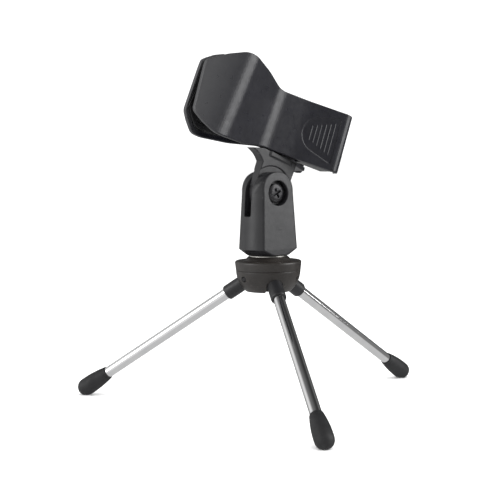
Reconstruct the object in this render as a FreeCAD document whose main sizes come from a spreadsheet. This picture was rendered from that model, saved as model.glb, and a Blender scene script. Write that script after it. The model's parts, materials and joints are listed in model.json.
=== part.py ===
import FreeCAD, Part
import math
import os
import Sketcher

# A desktop microphone stand: a sprung two-jaw clip on a tilting stem, a swivel body
# on a 5/8 inch stud, and a folding tripod whose three legs hinge in a round hub.
# Millimetres, +Z up. The origin is on the hub's axis at table level. The tilt hinge
# lies along Y, its screw head faces -Y, and the clip's handles point to +X.

# Driving dimensions: alias, number, meaning. Angles are in degrees.
SIZES = [
    ("leg_line_height", 67.3, "height where the three leg axes meet on the hub axis"),
    ("leg_slope", 33.2, "slope of an opened leg below the horizontal"),
    ("leg_heading", 3.4, "direction of the first leg, from +X towards +Y"),
    ("leg_count", 3, "legs, evenly spaced"),
    ("rod_radius", 2.75, "chromed leg rod"),
    ("rod_start", 16.5, "rod end inside the knuckle, along the leg from the hub axis"),
    ("rod_end", 112.0, "rod end inside the foot, along the leg"),
    ("knuckle_radius", 3.7, "round collar of the leg knuckle"),
    ("knuckle_end", 25.2, "outer end of the collar, along the leg"),
    ("knuckle_bevel", 0.6, "bevel round the collar's outer end"),
    ("eye_radius", 3.5, "eye of the knuckle round its hinge pin"),
    ("eye_width", 6.8, "width of that eye"),
    ("foot_start", 101.4, "mouth of the rubber foot, along the leg"),
    ("foot_mouth_radius", 3.2, "foot at its mouth"),
    ("foot_radius", 4.45, "foot at its fullest"),
    ("foot_end", 120.2, "tip of the foot, along the leg"),
    ("foot_side_arc", 62.0, "radius of the foot's long side curve"),
    ("pin_reach", 8.5, "leg hinge pin's distance from the hub axis"),
    ("pin_radius", 1.2, "leg hinge pin"),
    ("pin_blind_end", 7.0, "inner half length of that pin"),
    ("pin_open_end", 11.5, "outer half length, up to the hub's surface"),
    ("pin_slack", 0.05, "running clearance of hinge pins in their eyes"),
    ("hub_radius", 16.0, "hub cap"),
    ("hub_rim_height", 70.0, "top edge of the hub cap"),
    ("hub_split_height", 65.5, "joint between cap and bowl"),
    ("bowl_radius", 15.6, "hub bowl at the joint"),
    ("bowl_foot_radius", 10.75, "hub bowl at its underside"),
    ("bowl_foot_height", 55.2, "underside of the bowl"),
    ("bowl_side_arc", 14.5, "radius of the bowl's side curve"),
    ("slot_width", 7.6, "leg slot beside the eye"),
    ("slot_inner", 4.8, "inner end of a leg slot"),
    ("slot_outer", 13.6, "outer end of the tall part of a leg slot"),
    ("arch_width", 9.6, "arched mouth of a leg slot"),
    ("arch_top", 62.9, "top of that arch"),
    ("boss_foot_radius", 11.5, "raised boss on the cap, at its foot"),
    ("boss_radius", 9.5, "raised boss at its top"),
    ("boss_height", 72.0, "top of the boss"),
    ("flange_radius", 9.25, "nickel flange of the stud"),
    ("flange_thickness", 0.55, "thickness of that flange"),
    ("thread_radius", 7.94, "5/8 inch stud, outside"),
    ("stud_height", 83.5, "top of the stud"),
    ("stud_bevel", 0.9, "bevel at the top of the stud"),
    ("spigot_radius", 5.0, "stud's spigot inside the cap"),
    ("spigot_height", 66.5, "underside of the spigot"),
    ("hub_screw_radius", 2.5, "screw that holds hub and stud together"),
    ("hub_screw_tip", 77.0, "top end of that screw"),
    ("hub_screw_head", 3.9, "radius of its head"),
    ("hub_screw_seat", 57.5, "seat of that head in the bowl's counterbore"),
    ("hub_screw_bore", 4.1, "radius of the counterbore"),
    ("hub_screw_head_height", 2.2, "height of its head"),
    ("swivel_foot_height", 72.65, "underside of the swivel body"),
    ("swivel_foot_radius", 10.0, "swivel body at its underside"),
    ("swivel_radius", 13.95, "swivel body at its widest"),
    ("swivel_wide_height", 75.7, "height of the widest place"),
    ("swivel_neck_radius", 12.2, "swivel body at the hinge"),
    ("dome_radius", 8.0, "swivel body at its top"),
    ("ear_height", 10.3, "top of the ears above the hinge"),
    ("dome_arc", 13.0, "radius of the dome's side curve"),
    ("ear_arc", 12.48, "radius of the ears' arched outline"),
    ("ear_shoulder_drop", 3.4, "start of that arch below the hinge"),
    ("ear_shoulder", 12.35, "half width of the ears at the arch's start"),
    ("panel_foot", 9.4, "flat panel's distance from the axis, at the widest place"),
    ("panel_top", 7.7, "flat panel's distance from the axis, at the top"),
    ("hinge_height", 102.4, "tilt hinge above the table"),
    ("fork_width", 4.6, "slot between the ears"),
    ("fork_floor", 91.6, "bottom of that slot"),
    ("insert_radius", 8.6, "brass thread insert, outside"),
    ("insert_top", 83.0, "top of the insert"),
    ("insert_slack", 0.05, "running clearance of the stud in the insert"),
    ("insert_foot", 73.2, "underside of the insert"),
    ("cavity_top", 84.5, "top of the cavity above the stud"),
    ("screw_radius", 2.5, "tilt hinge screw, M5"),
    ("screw_seat", 4.2, "floor of the screw head's recess, from the middle"),
    ("screw_recess_radius", 5.9, "that recess"),
    ("screw_head_radius", 4.65, "pan head of the hinge screw"),
    ("screw_head_face", 7.2, "outer face of the pan head, from the middle"),
    ("washer_radius", 5.2, "washer under the pan head"),
    ("washer_thickness", 0.6, "thickness of the washer"),
    ("cross_width", 1.1, "arms of the head's cross recess"),
    ("cross_reach", 2.5, "half length of those arms"),
    ("cross_depth", 1.4, "depth of the cross recess"),
    ("nut_half_flats", 4.0, "half the width across the nut's flats"),
    ("nut_seat", 4.0, "floor of the nut's pocket, from the middle"),
    ("nut_face", 7.8, "outer face of the nut, from the middle"),
    ("tilt", 21.2, "tilt of the clip's axis from the vertical, towards +X"),
    ("tongue_radius", 9.7, "round tongue of the stem"),
    ("tongue_thickness", 4.4, "thickness of the tongue"),
    ("stem_thickness", 5.3, "thickness of the stem above the ears"),
    ("stem_arc", 12.75, "curved shoulder of the stem, round the hinge"),
    ("stem_half_foot", 9.9, "half width of the stem at the shoulder"),
    ("stem_half_top", 10.9, "half width of the stem under the jaws"),
    ("stem_top", 18.9, "top of the stem above the hinge"),
    ("gusset_reach", 18.0, "reach of the gusset under the jaws"),
    ("gusset_top", 16.6, "top of that gusset's end"),
    ("gusset_foot", 12.6, "foot of the gusset"),
    ("saddle_depth", 2.2, "height of the saddle that carries the jaws"),
    ("saddle_half", 3.2, "half thickness of the saddle"),
    ("saddle_reach", 7.2, "half length of the saddle"),
    ("saddle_corner", 1.3, "bevel at the saddle's corners"),
    ("clip_rise", 34.0, "middle of the jaws above the hinge"),
    ("pivot_reach", 4.5, "jaw pivot's offset from the stem's axis"),
    ("pivot_radius", 1.5, "jaw pivot pin"),
    ("pivot_foot", -20.4, "lower end of the pivot pin, from the jaws' middle"),
    ("pivot_top", 14.3, "upper end of the pivot pin"),
    ("cap_foot", 13.3, "underside of the push-on cap"),
    ("cap_radius", 3.3, "push-on cap"),
    ("jaw_wall", 2.0, "thickness of the jaws"),
    ("jaw_half_height", 21.0, "half height of the jaws at their crest"),
    ("handle_half_height", 14.76, "half height of the handles"),
    ("tip_half_height", 10.4, "half height of the jaws' tips"),
    ("handle_end", 25.9, "corner at the handles' end, from the stem's axis"),
    ("handle_end_gap", 16.9, "outer face at that corner, from the clip's middle plane"),
    ("handle_round", 4.0, "outer rounding of that corner"),
    ("lip_reach", 2.2, "inward lip's edge beyond that corner, along the clip"),
    ("lip_depth", 4.4, "depth of that lip"),
    ("knee", 3.9, "slight bend beside the pivot"),
    ("knee_gap", 6.6, "outer face at that bend"),
    ("valley", -11.0, "corner of the valley behind the pivot"),
    ("valley_gap", 1.6, "outer face at that corner"),
    ("crest", -40.5, "corner of the jaws' crest"),
    ("crest_gap", 11.3, "outer face at that corner"),
    ("tip", -59.3, "tip of the jaws"),
    ("tip_end", -57.4, "straight end of the tips in side view"),
    ("fan", 0.0019, "spread of the jaws' upright lines, per mm along the clip and mm of height"),
    ("tip_gap", 2.65, "outer face at the tip"),
    ("valley_round", 12.0, "outer rounding of the valley"),
    ("crest_round", 12.0, "outer rounding of the crest"),
    ("flange_wall", 2.0, "thickness of the handles' side flanges"),
    ("flange_start", 9.0, "start of those flanges"),
    ("flange_start_gap", 1.8, "inner edge of a flange at its start"),
    ("flange_end", 23.6, "end of the flanges"),
    ("flange_end_gap", 5.9, "inner edge of a flange at its end"),
    ("knuckle_eye_radius", 3.8, "eyes of the jaws round the pivot pin"),
    ("pad_inset", 2.4, "grip pad's distance from the jaw's edges"),
    ("pad_slack", 0.03, "gap between pad and jaw, filled by adhesive"),
    ("pad_thickness", 1.0, "thickness of the grip pad"),
    ("pad_start", -17.5, "grip pad's end beside the valley"),
    ("pad_end", -55.0, "grip pad's end beside the tip"),
    ("seat_middle", -40.3, "middle of the round seat for the microphone"),
    ("seat_radius", 7.2, "radius of that seat"),
    ("seat_half", 4.8, "half width of the seat in each pad"),
    ("recess_depth", 0.5, "depth of the thumb recess on each handle"),
    ("recess_start", 1.0, "rounded end of the thumb recess, along the handle from the bend"),
    ("recess_shoulder", 6.0, "end of that rounding"),
    ("recess_shoulder_half", 8.0, "half height of the thumb recess there"),
    ("recess_round", 9.2, "radius of that rounding"),
    ("recess_end", 18.8, "square end of the thumb recess"),
    ("recess_half", 11.8, "half height of the thumb recess at that end"),
    ("wire_radius", 0.55, "wire of the torsion spring"),
    ("coil_radius", 2.4, "middle radius of its coil"),
    ("coil_pitch", 1.5, "rise of one turn"),
    ("coil_turns", 6, "turns, less the angle between the two legs"),
    ("coil_foot", -4.6, "lower end of the coil"),
    ("spring_leg_reach", 11.5, "reach of the spring's legs past the pivot"),
    ("spring_leg_gap", 9.1, "end of a leg from the clip's middle plane"),
]

# Eyes of the two jaws along the pivot pin: lower and upper end of each, from the middle.
FRONT_EYES = [(-14.5, -10.3), (4.9, 8.9)]
REAR_EYES = [(-10.1, -5.9), (9.1, 13.1)]
FAR = 60.0      # half size of cutting shapes, beyond every piece
FULL_TURN = 360.0

Vector = FreeCAD.Vector
doc = FreeCAD.newDocument("mic_stand")
sheet = doc.addObject("Spreadsheet::Sheet", "dims")


class Dim:
    """A size that carries its number and its spreadsheet expression together."""

    def __init__(self, number, text):
        self.number = float(number)
        self.text = text

    def __add__(self, other):
        other = as_dim(other)
        return Dim(self.number + other.number, "(%s + %s)" % (self.text, other.text))

    def __sub__(self, other):
        other = as_dim(other)
        return Dim(self.number - other.number, "(%s - %s)" % (self.text, other.text))

    def __mul__(self, other):
        other = as_dim(other)
        return Dim(self.number * other.number, "(%s * %s)" % (self.text, other.text))

    def __truediv__(self, other):
        other = as_dim(other)
        return Dim(self.number / other.number, "(%s / %s)" % (self.text, other.text))

    def __neg__(self):
        return self * -1.0

    def sine(self):
        return Dim(math.sin(math.radians(self.number)), "sin(%s)" % self.text)

    def cosine(self):
        return Dim(math.cos(math.radians(self.number)), "cos(%s)" % self.text)


def as_dim(value):
    """A plain number as a Dim; a Dim as it is."""
    if isinstance(value, Dim):
        return value
    return Dim(value, "(%.6f)" % value)


class Sizes:
    """The spreadsheet's cells as attributes."""


size = Sizes()
for row, (alias, number, meaning) in enumerate(SIZES, start=1):
    sheet.set("A%d" % row, str(number))
    sheet.setAlias("A%d" % row, alias)
    sheet.set("B%d" % row, meaning)
    setattr(size, alias, Dim(number, "dims." + alias))
doc.recompute()


# ---------------------------------------------------------------- building helpers

def new_body(label):
    body = doc.addObject("PartDesign::Body", label)
    body.Label = label
    return body


def new_sketch(body, role, offset=None):
    """A sketch on one of the body's own origin planes, moved by offset if given."""
    sketch = body.newObject("Sketcher::SketchObject", body.Name + "_sketch")
    plane = [item for item in body.Origin.OriginFeatures if item.Role == role][0]
    sketch.AttachmentSupport = [(plane, "")]
    sketch.MapMode = "FlatFace"
    if offset is not None:
        sketch.AttachmentOffset = offset
    return sketch


def pin_point(sketch, edge, place, corner):
    """Hold a sketch point at a corner given by two sizes."""
    for kind, value in zip(("DistanceX", "DistanceY"), corner):
        value = as_dim(value)
        index = sketch.addConstraint(Sketcher.Constraint(kind, -1, 1, edge, place, value.number))
        sketch.setExpression("Constraints[%d]" % index, value.text)


def arc_between(start, end, radius, side):
    """A minor arc from start to end; side is +1 where its centre lies to the left."""
    chord = end - start
    middle = (start + end) * 0.5
    left = Vector(-chord.y, chord.x, 0).normalize()
    rise = math.sqrt(max(radius ** 2 - (chord.Length / 2) ** 2, 0.0))
    centre = middle + left * rise * side
    circle = Part.Circle(centre, Vector(0, 0, 1), radius)
    first = math.atan2(start.y - centre.y, start.x - centre.x)
    last = math.atan2(end.y - centre.y, end.x - centre.x)
    if side > 0:
        return Part.ArcOfCircle(circle, first, last), 1
    return Part.ArcOfCircle(circle, last, first), 2


def draw_outline(sketch, corners, arcs=None):
    """A closed outline; arcs maps an edge's number to its radius and centre's side."""
    arcs = arcs or {}
    points = [Vector(as_dim(x).number, as_dim(y).number, 0) for x, y in corners]
    starts = []
    for number, point in enumerate(points):
        following = points[(number + 1) % len(points)]
        if number in arcs:
            radius, side = arcs[number]
            shape, start = arc_between(point, following, as_dim(radius).number, side)
        else:
            shape, start = Part.LineSegment(point, following), 1
        starts.append((sketch.addGeometry(shape, False), start))
    for number, (edge, start) in enumerate(starts):
        other_edge, other_start = starts[(number + 1) % len(starts)]
        joint = Sketcher.Constraint("Coincident", edge, 3 - start, other_edge, other_start)
        sketch.addConstraint(joint)
    for number, (edge, start) in enumerate(starts):
        pin_point(sketch, edge, start, corners[number])
        if number in arcs:
            radius = as_dim(arcs[number][0])
            index = sketch.addConstraint(Sketcher.Constraint("Radius", edge, radius.number))
            sketch.setExpression("Constraints[%d]" % index, radius.text)
    return sketch


def draw_circle(sketch, corner, radius):
    radius = as_dim(radius)
    centre = Vector(as_dim(corner[0]).number, as_dim(corner[1]).number, 0)
    edge = sketch.addGeometry(Part.Circle(centre, Vector(0, 0, 1), radius.number), False)
    pin_point(sketch, edge, 3, corner)
    index = sketch.addConstraint(Sketcher.Constraint("Radius", edge, radius.number))
    sketch.setExpression("Constraints[%d]" % index, radius.text)
    return sketch


def add_feature(body, kind, sketch, length=None, symmetric=False, flipped=False):
    """A feature of the body made from a sketch; a cut that removes nothing is an error."""
    before = body.Shape.Volume if body.Tip else 0.0
    feature = body.newObject("PartDesign::" + kind, body.Name + "_by_" + kind.lower())
    feature.Profile = sketch
    if length is not None:
        feature.setExpression("Length", as_dim(length).text)
        if symmetric:
            feature.SideType = "Symmetric"
        feature.Reversed = flipped
    doc.recompute()
    after = body.Shape.Volume
    if kind in ("Pocket", "Groove") and after > before - 1e-3:
        raise RuntimeError("%s cuts nothing" % feature.Name)
    if kind not in ("Pocket", "Groove") and after < before + 1e-3:
        raise RuntimeError("%s adds nothing" % feature.Name)
    return feature


def revolve(body, corners, arcs=None, axis="V_Axis", role="XZ_Plane"):
    """A full turn of an outline round the sketch's upright or level axis."""
    sketch = draw_outline(new_sketch(body, role), corners, arcs)
    feature = body.newObject("PartDesign::Revolution", body.Name + "_revolution")
    feature.Profile = sketch
    feature.ReferenceAxis = (sketch, [axis])
    feature.Angle = FULL_TURN
    doc.recompute()
    return feature


def pad(body, role, corners, length, arcs=None, symmetric=True, offset=None, flipped=False):
    sketch = draw_outline(new_sketch(body, role, offset), corners, arcs)
    return add_feature(body, "Pad", sketch, length, symmetric, flipped)


def pocket(body, role, corners, length, arcs=None, symmetric=True, offset=None, flipped=False):
    sketch = draw_outline(new_sketch(body, role, offset), corners, arcs)
    return add_feature(body, "Pocket", sketch, length, symmetric, flipped)


def drill(body, role, corner, radius, length, symmetric=True, offset=None, flipped=False):
    sketch = draw_circle(new_sketch(body, role, offset), corner, radius)
    return add_feature(body, "Pocket", sketch, length, symmetric, flipped)


def repeat_round(body, features, count):
    """Repeat features evenly round the body's Z axis."""
    pattern = body.newObject("PartDesign::PolarPattern", body.Name + "_pattern")
    pattern.Originals = features
    axis = [item for item in body.Origin.OriginFeatures if item.Role == "Z_Axis"][0]
    pattern.Axis = (axis, [""])
    pattern.Angle = FULL_TURN
    pattern.setExpression("Occurrences", count.text)
    body.Tip = pattern
    doc.recompute()
    return pattern


def along(distance):
    """An offset of a sketch along its plane's own normal."""
    return FreeCAD.Placement(Vector(0, 0, as_dim(distance).number), FreeCAD.Rotation())


def round_edges(body, radius, chosen):
    """Round the edges for which chosen says yes."""
    names = []
    for number, edge in enumerate(body.Shape.Edges, start=1):
        if chosen(edge):
            names.append("Edge%d" % number)
    if not names:
        raise RuntimeError("no edge to round on %s" % body.Label)
    base = body.Tip
    fillet = body.newObject("PartDesign::Fillet", body.Name + "_fillet")
    fillet.Base = (base, names)
    fillet.setExpression("Radius", as_dim(radius).text)
    doc.recompute()
    return fillet


def upright_at(x, y):
    """Chooses upright edges whose middle has the given place in plan."""
    def chosen(edge):
        middle = edge.CenterOfMass
        return edge.BoundBox.ZLength > 1 and math.hypot(middle.x - x, middle.y - y) < 0.05
    return chosen


# ---------------------------------------------------------------- hub of the tripod

def hub_turn(number=0):
    """Places a piece of leg number in the hub's frame, turned to that leg."""
    step = FULL_TURN / size.leg_count.number
    turn = FreeCAD.Rotation(Vector(0, 0, 1), size.leg_heading.number + step * number)
    return FreeCAD.Placement(Vector(), turn)


def make_hub_bowl():
    s = size
    body = new_body("hub_bowl")
    hole = s.hub_screw_radius + s.pin_slack
    revolve(body, [
        (hole, s.hub_screw_seat),
        (s.hub_screw_bore, s.hub_screw_seat),
        (s.hub_screw_bore, s.bowl_foot_height),
        (s.bowl_foot_radius, s.bowl_foot_height),
        (s.bowl_radius, s.hub_split_height),
        (hole, s.hub_split_height),
    ], arcs={3: (s.bowl_side_arc, 1)})
    half_slot = s.slot_width / 2
    tall = pocket(body, "YZ_Plane", [
        (-half_slot, s.bowl_foot_height - 1),
        (half_slot, s.bowl_foot_height - 1),
        (half_slot, s.hub_split_height + 1),
        (-half_slot, s.hub_split_height + 1),
    ], s.slot_outer - s.slot_inner, symmetric=False, flipped=True, offset=along(s.slot_inner))
    half_arch = s.arch_width / 2
    spring_line = s.arch_top - half_arch
    mouth = pocket(body, "YZ_Plane", [
        (-half_arch, s.bowl_foot_height - 1),
        (half_arch, s.bowl_foot_height - 1),
        (half_arch, spring_line),
        (0, s.arch_top),
        (-half_arch, spring_line),
    ], FAR, arcs={2: (half_arch, 1), 3: (half_arch, 1)}, symmetric=False, flipped=True,
        offset=along(s.slot_outer - 1))
    pin_height = s.leg_line_height - s.pin_reach * s.leg_slope.sine() / s.leg_slope.cosine()
    hole = drill(body, "XZ_Plane", (s.pin_reach, pin_height), s.pin_radius, FAR,
                 symmetric=False)
    blind = drill(body, "XZ_Plane", (s.pin_reach, pin_height), s.pin_radius, s.pin_blind_end,
                  symmetric=False, flipped=True)
    repeat_round(body, [tall, mouth, hole, blind], s.leg_count)
    body.Placement = hub_turn()
    return body


def make_hub_cap():
    s = size
    body = new_body("hub_cap")
    revolve(body, [
        (s.spigot_radius, s.hub_split_height),
        (s.bowl_radius, s.hub_split_height),
        (s.hub_radius, s.hub_rim_height - 0.7),
        (s.hub_radius - 0.7, s.hub_rim_height),
        (s.boss_foot_radius, s.hub_rim_height),
        (s.boss_radius, s.boss_height),
        (s.spigot_radius, s.boss_height),
    ])
    return body


def make_thread_stud():
    s = size
    body = new_body("thread_stud")
    revolve(body, [
        (s.hub_screw_radius, s.spigot_height),
        (s.spigot_radius, s.spigot_height),
        (s.spigot_radius, s.boss_height),
        (s.flange_radius, s.boss_height),
        (s.flange_radius, s.boss_height + s.flange_thickness),
        (s.thread_radius, s.boss_height + s.flange_thickness),
        (s.thread_radius, s.stud_height - s.stud_bevel),
        (s.thread_radius - s.stud_bevel, s.stud_height),
        (s.hub_screw_radius, s.stud_height),
    ])
    return body


def make_hub_screw():
    s = size
    body = new_body("hub_screw")
    head_foot = s.hub_screw_seat - s.hub_screw_head_height
    revolve(body, [
        (0, head_foot),
        (s.hub_screw_head - 1, head_foot),
        (s.hub_screw_head, head_foot + 1),
        (s.hub_screw_head, s.hub_screw_seat),
        (s.hub_screw_radius, s.hub_screw_seat),
        (s.hub_screw_radius, s.hub_screw_tip),
        (0, s.hub_screw_tip),
    ])
    for corners in cross_arms():
        pocket(body, "XY_Plane", corners, s.cross_depth, symmetric=False, flipped=True,
               offset=along(head_foot))
    return body


def cross_arms():
    """The two arms of a cross recess, about the sketch's origin."""
    reach = size.cross_reach
    half = size.cross_width / 2
    long_arm = [(-reach, -half), (reach, -half), (reach, half), (-reach, half)]
    return [long_arm, [(-y, x) for x, y in long_arm]]


def make_leg_pin(number):
    """A hinge pin: its blind end stays in the bowl, its other end shows at the surface."""
    s = size
    pin_height = s.leg_line_height - s.pin_reach * s.leg_slope.sine() / s.leg_slope.cosine()
    pin = doc.addObject("Part::Cylinder", "leg_pin_%d" % (number + 1))
    pin.Label = "leg_pin_%d" % (number + 1)
    pin.setExpression("Radius", s.pin_radius.text)
    pin.setExpression("Height", (s.pin_blind_end + s.pin_open_end).text)
    lying = FreeCAD.Rotation(Vector(0, 0, 1), Vector(0, 1, 0))
    start = Vector(s.pin_reach.number, -s.pin_blind_end.number, pin_height.number)
    pin.Placement = hub_turn(number).multiply(FreeCAD.Placement(start, lying))
    return pin


# ---------------------------------------------------------------- legs

def leg_placement(number):
    """A leg's own frame: X runs down the leg from the hub axis, Y along its hinge pin."""
    lowered = FreeCAD.Rotation(Vector(0, 1, 0), size.leg_slope.number)
    start = FreeCAD.Placement(Vector(0, 0, size.leg_line_height.number), FreeCAD.Rotation())
    return start.multiply(hub_turn(number)).multiply(FreeCAD.Placement(Vector(), lowered))


def make_leg_knuckle(number):
    s = size
    body = new_body("leg_knuckle_%d" % (number + 1))
    pin_place = s.pin_reach / s.leg_slope.cosine()
    revolve(body, [
        (pin_place, 0),
        (pin_place, s.eye_radius - 0.2),
        (pin_place + 2, s.knuckle_radius),
        (s.knuckle_end - s.knuckle_bevel, s.knuckle_radius),
        (s.knuckle_end, s.knuckle_radius - s.knuckle_bevel),
        (s.knuckle_end, 0),
    ], axis="H_Axis")
    eye = draw_circle(new_sketch(body, "XZ_Plane"), (pin_place, 0), s.eye_radius)
    add_feature(body, "Pad", eye, s.eye_width, symmetric=True)
    drill(body, "XZ_Plane", (pin_place, 0), s.pin_radius + s.pin_slack, FAR)
    drill(body, "YZ_Plane", (0, 0), s.rod_radius, FAR, symmetric=False, flipped=True,
          offset=along(s.rod_start))
    body.Placement = leg_placement(number)
    return body


def make_leg_rod(number):
    s = size
    body = new_body("leg_rod_%d" % (number + 1))
    revolve(body, [
        (s.rod_start, 0),
        (s.rod_start, s.rod_radius),
        (s.rod_end, s.rod_radius),
        (s.rod_end, 0),
    ], axis="H_Axis")
    body.Placement = leg_placement(number)
    return body


def make_foot(number):
    """A drop-shaped rubber foot with a small flat that lies on the table."""
    s = size
    body = new_body("foot_%d" % (number + 1))
    fullest = s.foot_end - s.foot_radius
    revolve(body, [
        (s.foot_start, s.rod_radius),
        (s.foot_start, s.foot_mouth_radius),
        (fullest, s.foot_radius),
        (s.foot_end, 0),
        (s.rod_end, 0),
        (s.rod_end, s.rod_radius),
    ], arcs={1: (s.foot_side_arc, -1), 2: (s.foot_radius, -1)}, axis="H_Axis")

    def table_line(place):
        """Height of the table in the leg's frame at a place along the leg."""
        return (place * s.leg_slope.sine() - s.leg_line_height) / s.leg_slope.cosine()

    near = s.foot_start
    far = s.foot_end + 4
    deep = table_line(near) - 4
    pocket(body, "XZ_Plane", [
        (near, deep), (far, deep), (far, table_line(far)), (near, table_line(near)),
    ], FAR)
    body.Placement = leg_placement(number)
    return body


# ---------------------------------------------------------------- swivel and tilt hinge

def make_swivel_body():
    s = size
    body = new_body("swivel_body")
    ear_top = s.hinge_height + s.ear_height
    revolve(body, [
        (s.insert_radius, s.swivel_foot_height),
        (s.swivel_foot_radius, s.swivel_foot_height),
        (s.swivel_radius, s.swivel_wide_height),
        (s.swivel_neck_radius, s.hinge_height),
        (s.dome_radius, ear_top),
        (0, ear_top),
        (0, s.cavity_top),
        (s.insert_radius, s.cavity_top),
    ], arcs={3: (s.dome_arc, 1)}, role="YZ_Plane")
    for side in (-1, 1):
        pocket(body, "YZ_Plane", [
            (s.panel_foot * side, s.swivel_foot_height - 1),
            (s.panel_foot * side, s.swivel_wide_height),
            (s.panel_top * side, ear_top + 1),
            (s.panel_foot * side * 2, ear_top + 1),
            (s.panel_foot * side * 2, s.swivel_foot_height - 1),
        ], FAR)
    shoulder = s.hinge_height - s.ear_shoulder_drop
    beyond = s.ear_shoulder * 2
    pocket(body, "XZ_Plane", [
        (-s.ear_shoulder, shoulder), (0, ear_top), (s.ear_shoulder, shoulder),
        (beyond, shoulder), (beyond, ear_top + 3), (-beyond, ear_top + 3), (-beyond, shoulder),
    ], FAR, arcs={0: (s.ear_arc, -1), 1: (s.ear_arc, -1)})
    half_fork = s.fork_width / 2
    pocket(body, "YZ_Plane", [
        (-half_fork, s.fork_floor), (half_fork, s.fork_floor),
        (half_fork, ear_top + 1), (-half_fork, ear_top + 1),
    ], FAR)
    hinge = (0, s.hinge_height)
    drill(body, "XZ_Plane", hinge, s.screw_radius + s.pin_slack, FAR)
    drill(body, "XZ_Plane", hinge, s.screw_recess_radius, s.screw_seat * 2, symmetric=False,
          flipped=True, offset=along(s.screw_seat))
    pocket(body, "XZ_Plane", hexagon(s.nut_half_flats, s.hinge_height), s.nut_seat * 2,
           symmetric=False, offset=along(-s.nut_seat))
    return body


def hexagon(half_flats, middle_height):
    """Corners of a nut's outline about a point on the Z axis, one flat on top."""
    reach = half_flats * (2 / math.sqrt(3))
    corners = []
    for number in range(6):
        angle = math.radians(60 * number)
        corners.append((reach * math.cos(angle), middle_height + reach * math.sin(angle)))
    return corners


def make_thread_insert():
    s = size
    body = new_body("thread_insert")
    bore = s.thread_radius + s.insert_slack
    revolve(body, [
        (bore, s.insert_foot),
        (s.insert_radius, s.insert_foot),
        (s.insert_radius, s.insert_top),
        (bore, s.insert_top),
    ])
    return body


def make_hinge_screw():
    """The tilt hinge's cross-head screw, along Y, its head towards -Y."""
    s = size
    body = new_body("hinge_screw")
    head_seat = s.screw_seat + s.washer_thickness
    revolve(body, [
        (0, -s.screw_head_face),
        (s.screw_head_radius - 1.3, -s.screw_head_face),
        (s.screw_head_radius, -s.screw_head_face + 1.2),
        (s.screw_head_radius, -head_seat),
        (s.screw_radius, -head_seat),
        (s.screw_radius, s.nut_face),
        (0, s.nut_face),
    ], role="XY_Plane")
    for corners in cross_arms():
        pocket(body, "XZ_Plane", corners, s.cross_depth, symmetric=False,
               offset=along(s.screw_head_face))
    body.Placement = FreeCAD.Placement(Vector(0, 0, s.hinge_height.number), FreeCAD.Rotation())
    return body


def make_hinge_washer():
    s = size
    body = new_body("hinge_washer")
    revolve(body, [
        (s.screw_radius, -s.screw_seat - s.washer_thickness),
        (s.washer_radius, -s.screw_seat - s.washer_thickness),
        (s.washer_radius, -s.screw_seat),
        (s.screw_radius, -s.screw_seat),
    ], role="XY_Plane")
    body.Placement = FreeCAD.Placement(Vector(0, 0, s.hinge_height.number), FreeCAD.Rotation())
    return body


def make_hinge_nut():
    s = size
    body = new_body("hinge_nut")
    pad(body, "XZ_Plane", hexagon(s.nut_half_flats, as_dim(0)), s.nut_face - s.nut_seat,
        symmetric=False, flipped=True, offset=along(-s.nut_seat))
    drill(body, "XZ_Plane", (0, 0), s.screw_radius, FAR)
    body.Placement = FreeCAD.Placement(Vector(0, 0, s.hinge_height.number), FreeCAD.Rotation())
    return body


# ---------------------------------------------------------------- stem and pivot

def stem_frame(rise=0.0, reach=0.0):
    """The tilted frame of stem and clip: Z up the stem, X towards the handles."""
    leaning = FreeCAD.Rotation(Vector(0, 1, 0), size.tilt.number)
    hinge = FreeCAD.Placement(Vector(0, 0, size.hinge_height.number), leaning)
    return hinge.multiply(FreeCAD.Placement(Vector(reach, 0, rise), FreeCAD.Rotation()))


def make_clip_stem():
    s = size
    body = new_body("clip_stem")
    disc = draw_circle(new_sketch(body, "XZ_Plane"), (0, 0), s.tongue_radius)
    add_feature(body, "Pad", disc, s.tongue_thickness, symmetric=True)
    half = s.stem_half_foot
    pad(body, "XZ_Plane", [(-half, 0), (half, 0), (half, s.stem_top - 4), (-half, s.stem_top - 4)],
        s.tongue_thickness)
    shoulder = Dim(math.sqrt(s.stem_arc.number ** 2 - half.number ** 2),
                   "sqrt(%s ^ 2 - %s ^ 2)" % (s.stem_arc.text, half.text))
    pad(body, "XZ_Plane", [
        (-half, shoulder),
        (half, shoulder),
        (s.stem_half_top, s.stem_top),
        (-s.stem_half_top, s.stem_top),
        (-s.gusset_reach, s.gusset_top),
        (-half, s.gusset_foot),
    ], s.stem_thickness, arcs={0: (s.stem_arc, -1)})
    reach = s.saddle_reach
    bevel = s.saddle_corner
    saddle = [
        (-reach, -s.saddle_half + bevel), (-reach + bevel, -s.saddle_half),
        (reach - bevel, -s.saddle_half), (reach, -s.saddle_half + bevel),
        (reach, s.saddle_half - bevel), (reach - bevel, s.saddle_half),
        (-reach + bevel, s.saddle_half), (-reach, s.saddle_half - bevel),
    ]
    pad(body, "XY_Plane", saddle, s.saddle_depth, symmetric=False, flipped=True,
        offset=along(s.stem_top))
    drill(body, "XZ_Plane", (0, 0), s.screw_radius + s.pin_slack, FAR)
    drill(body, "XY_Plane", (s.pivot_reach, 0), s.pivot_radius, FAR, symmetric=False,
          flipped=True, offset=along(s.clip_rise + s.pivot_foot))
    body.Placement = stem_frame()
    return body


def make_clip_pivot_pin():
    s = size
    pin = doc.addObject("Part::Cylinder", "clip_pivot_pin")
    pin.Label = "clip_pivot_pin"
    pin.setExpression("Radius", s.pivot_radius.text)
    pin.setExpression("Height", (s.pivot_top - s.pivot_foot).text)
    pin.Placement = stem_frame(s.clip_rise.number + s.pivot_foot.number, s.pivot_reach.number)
    return pin


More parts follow.
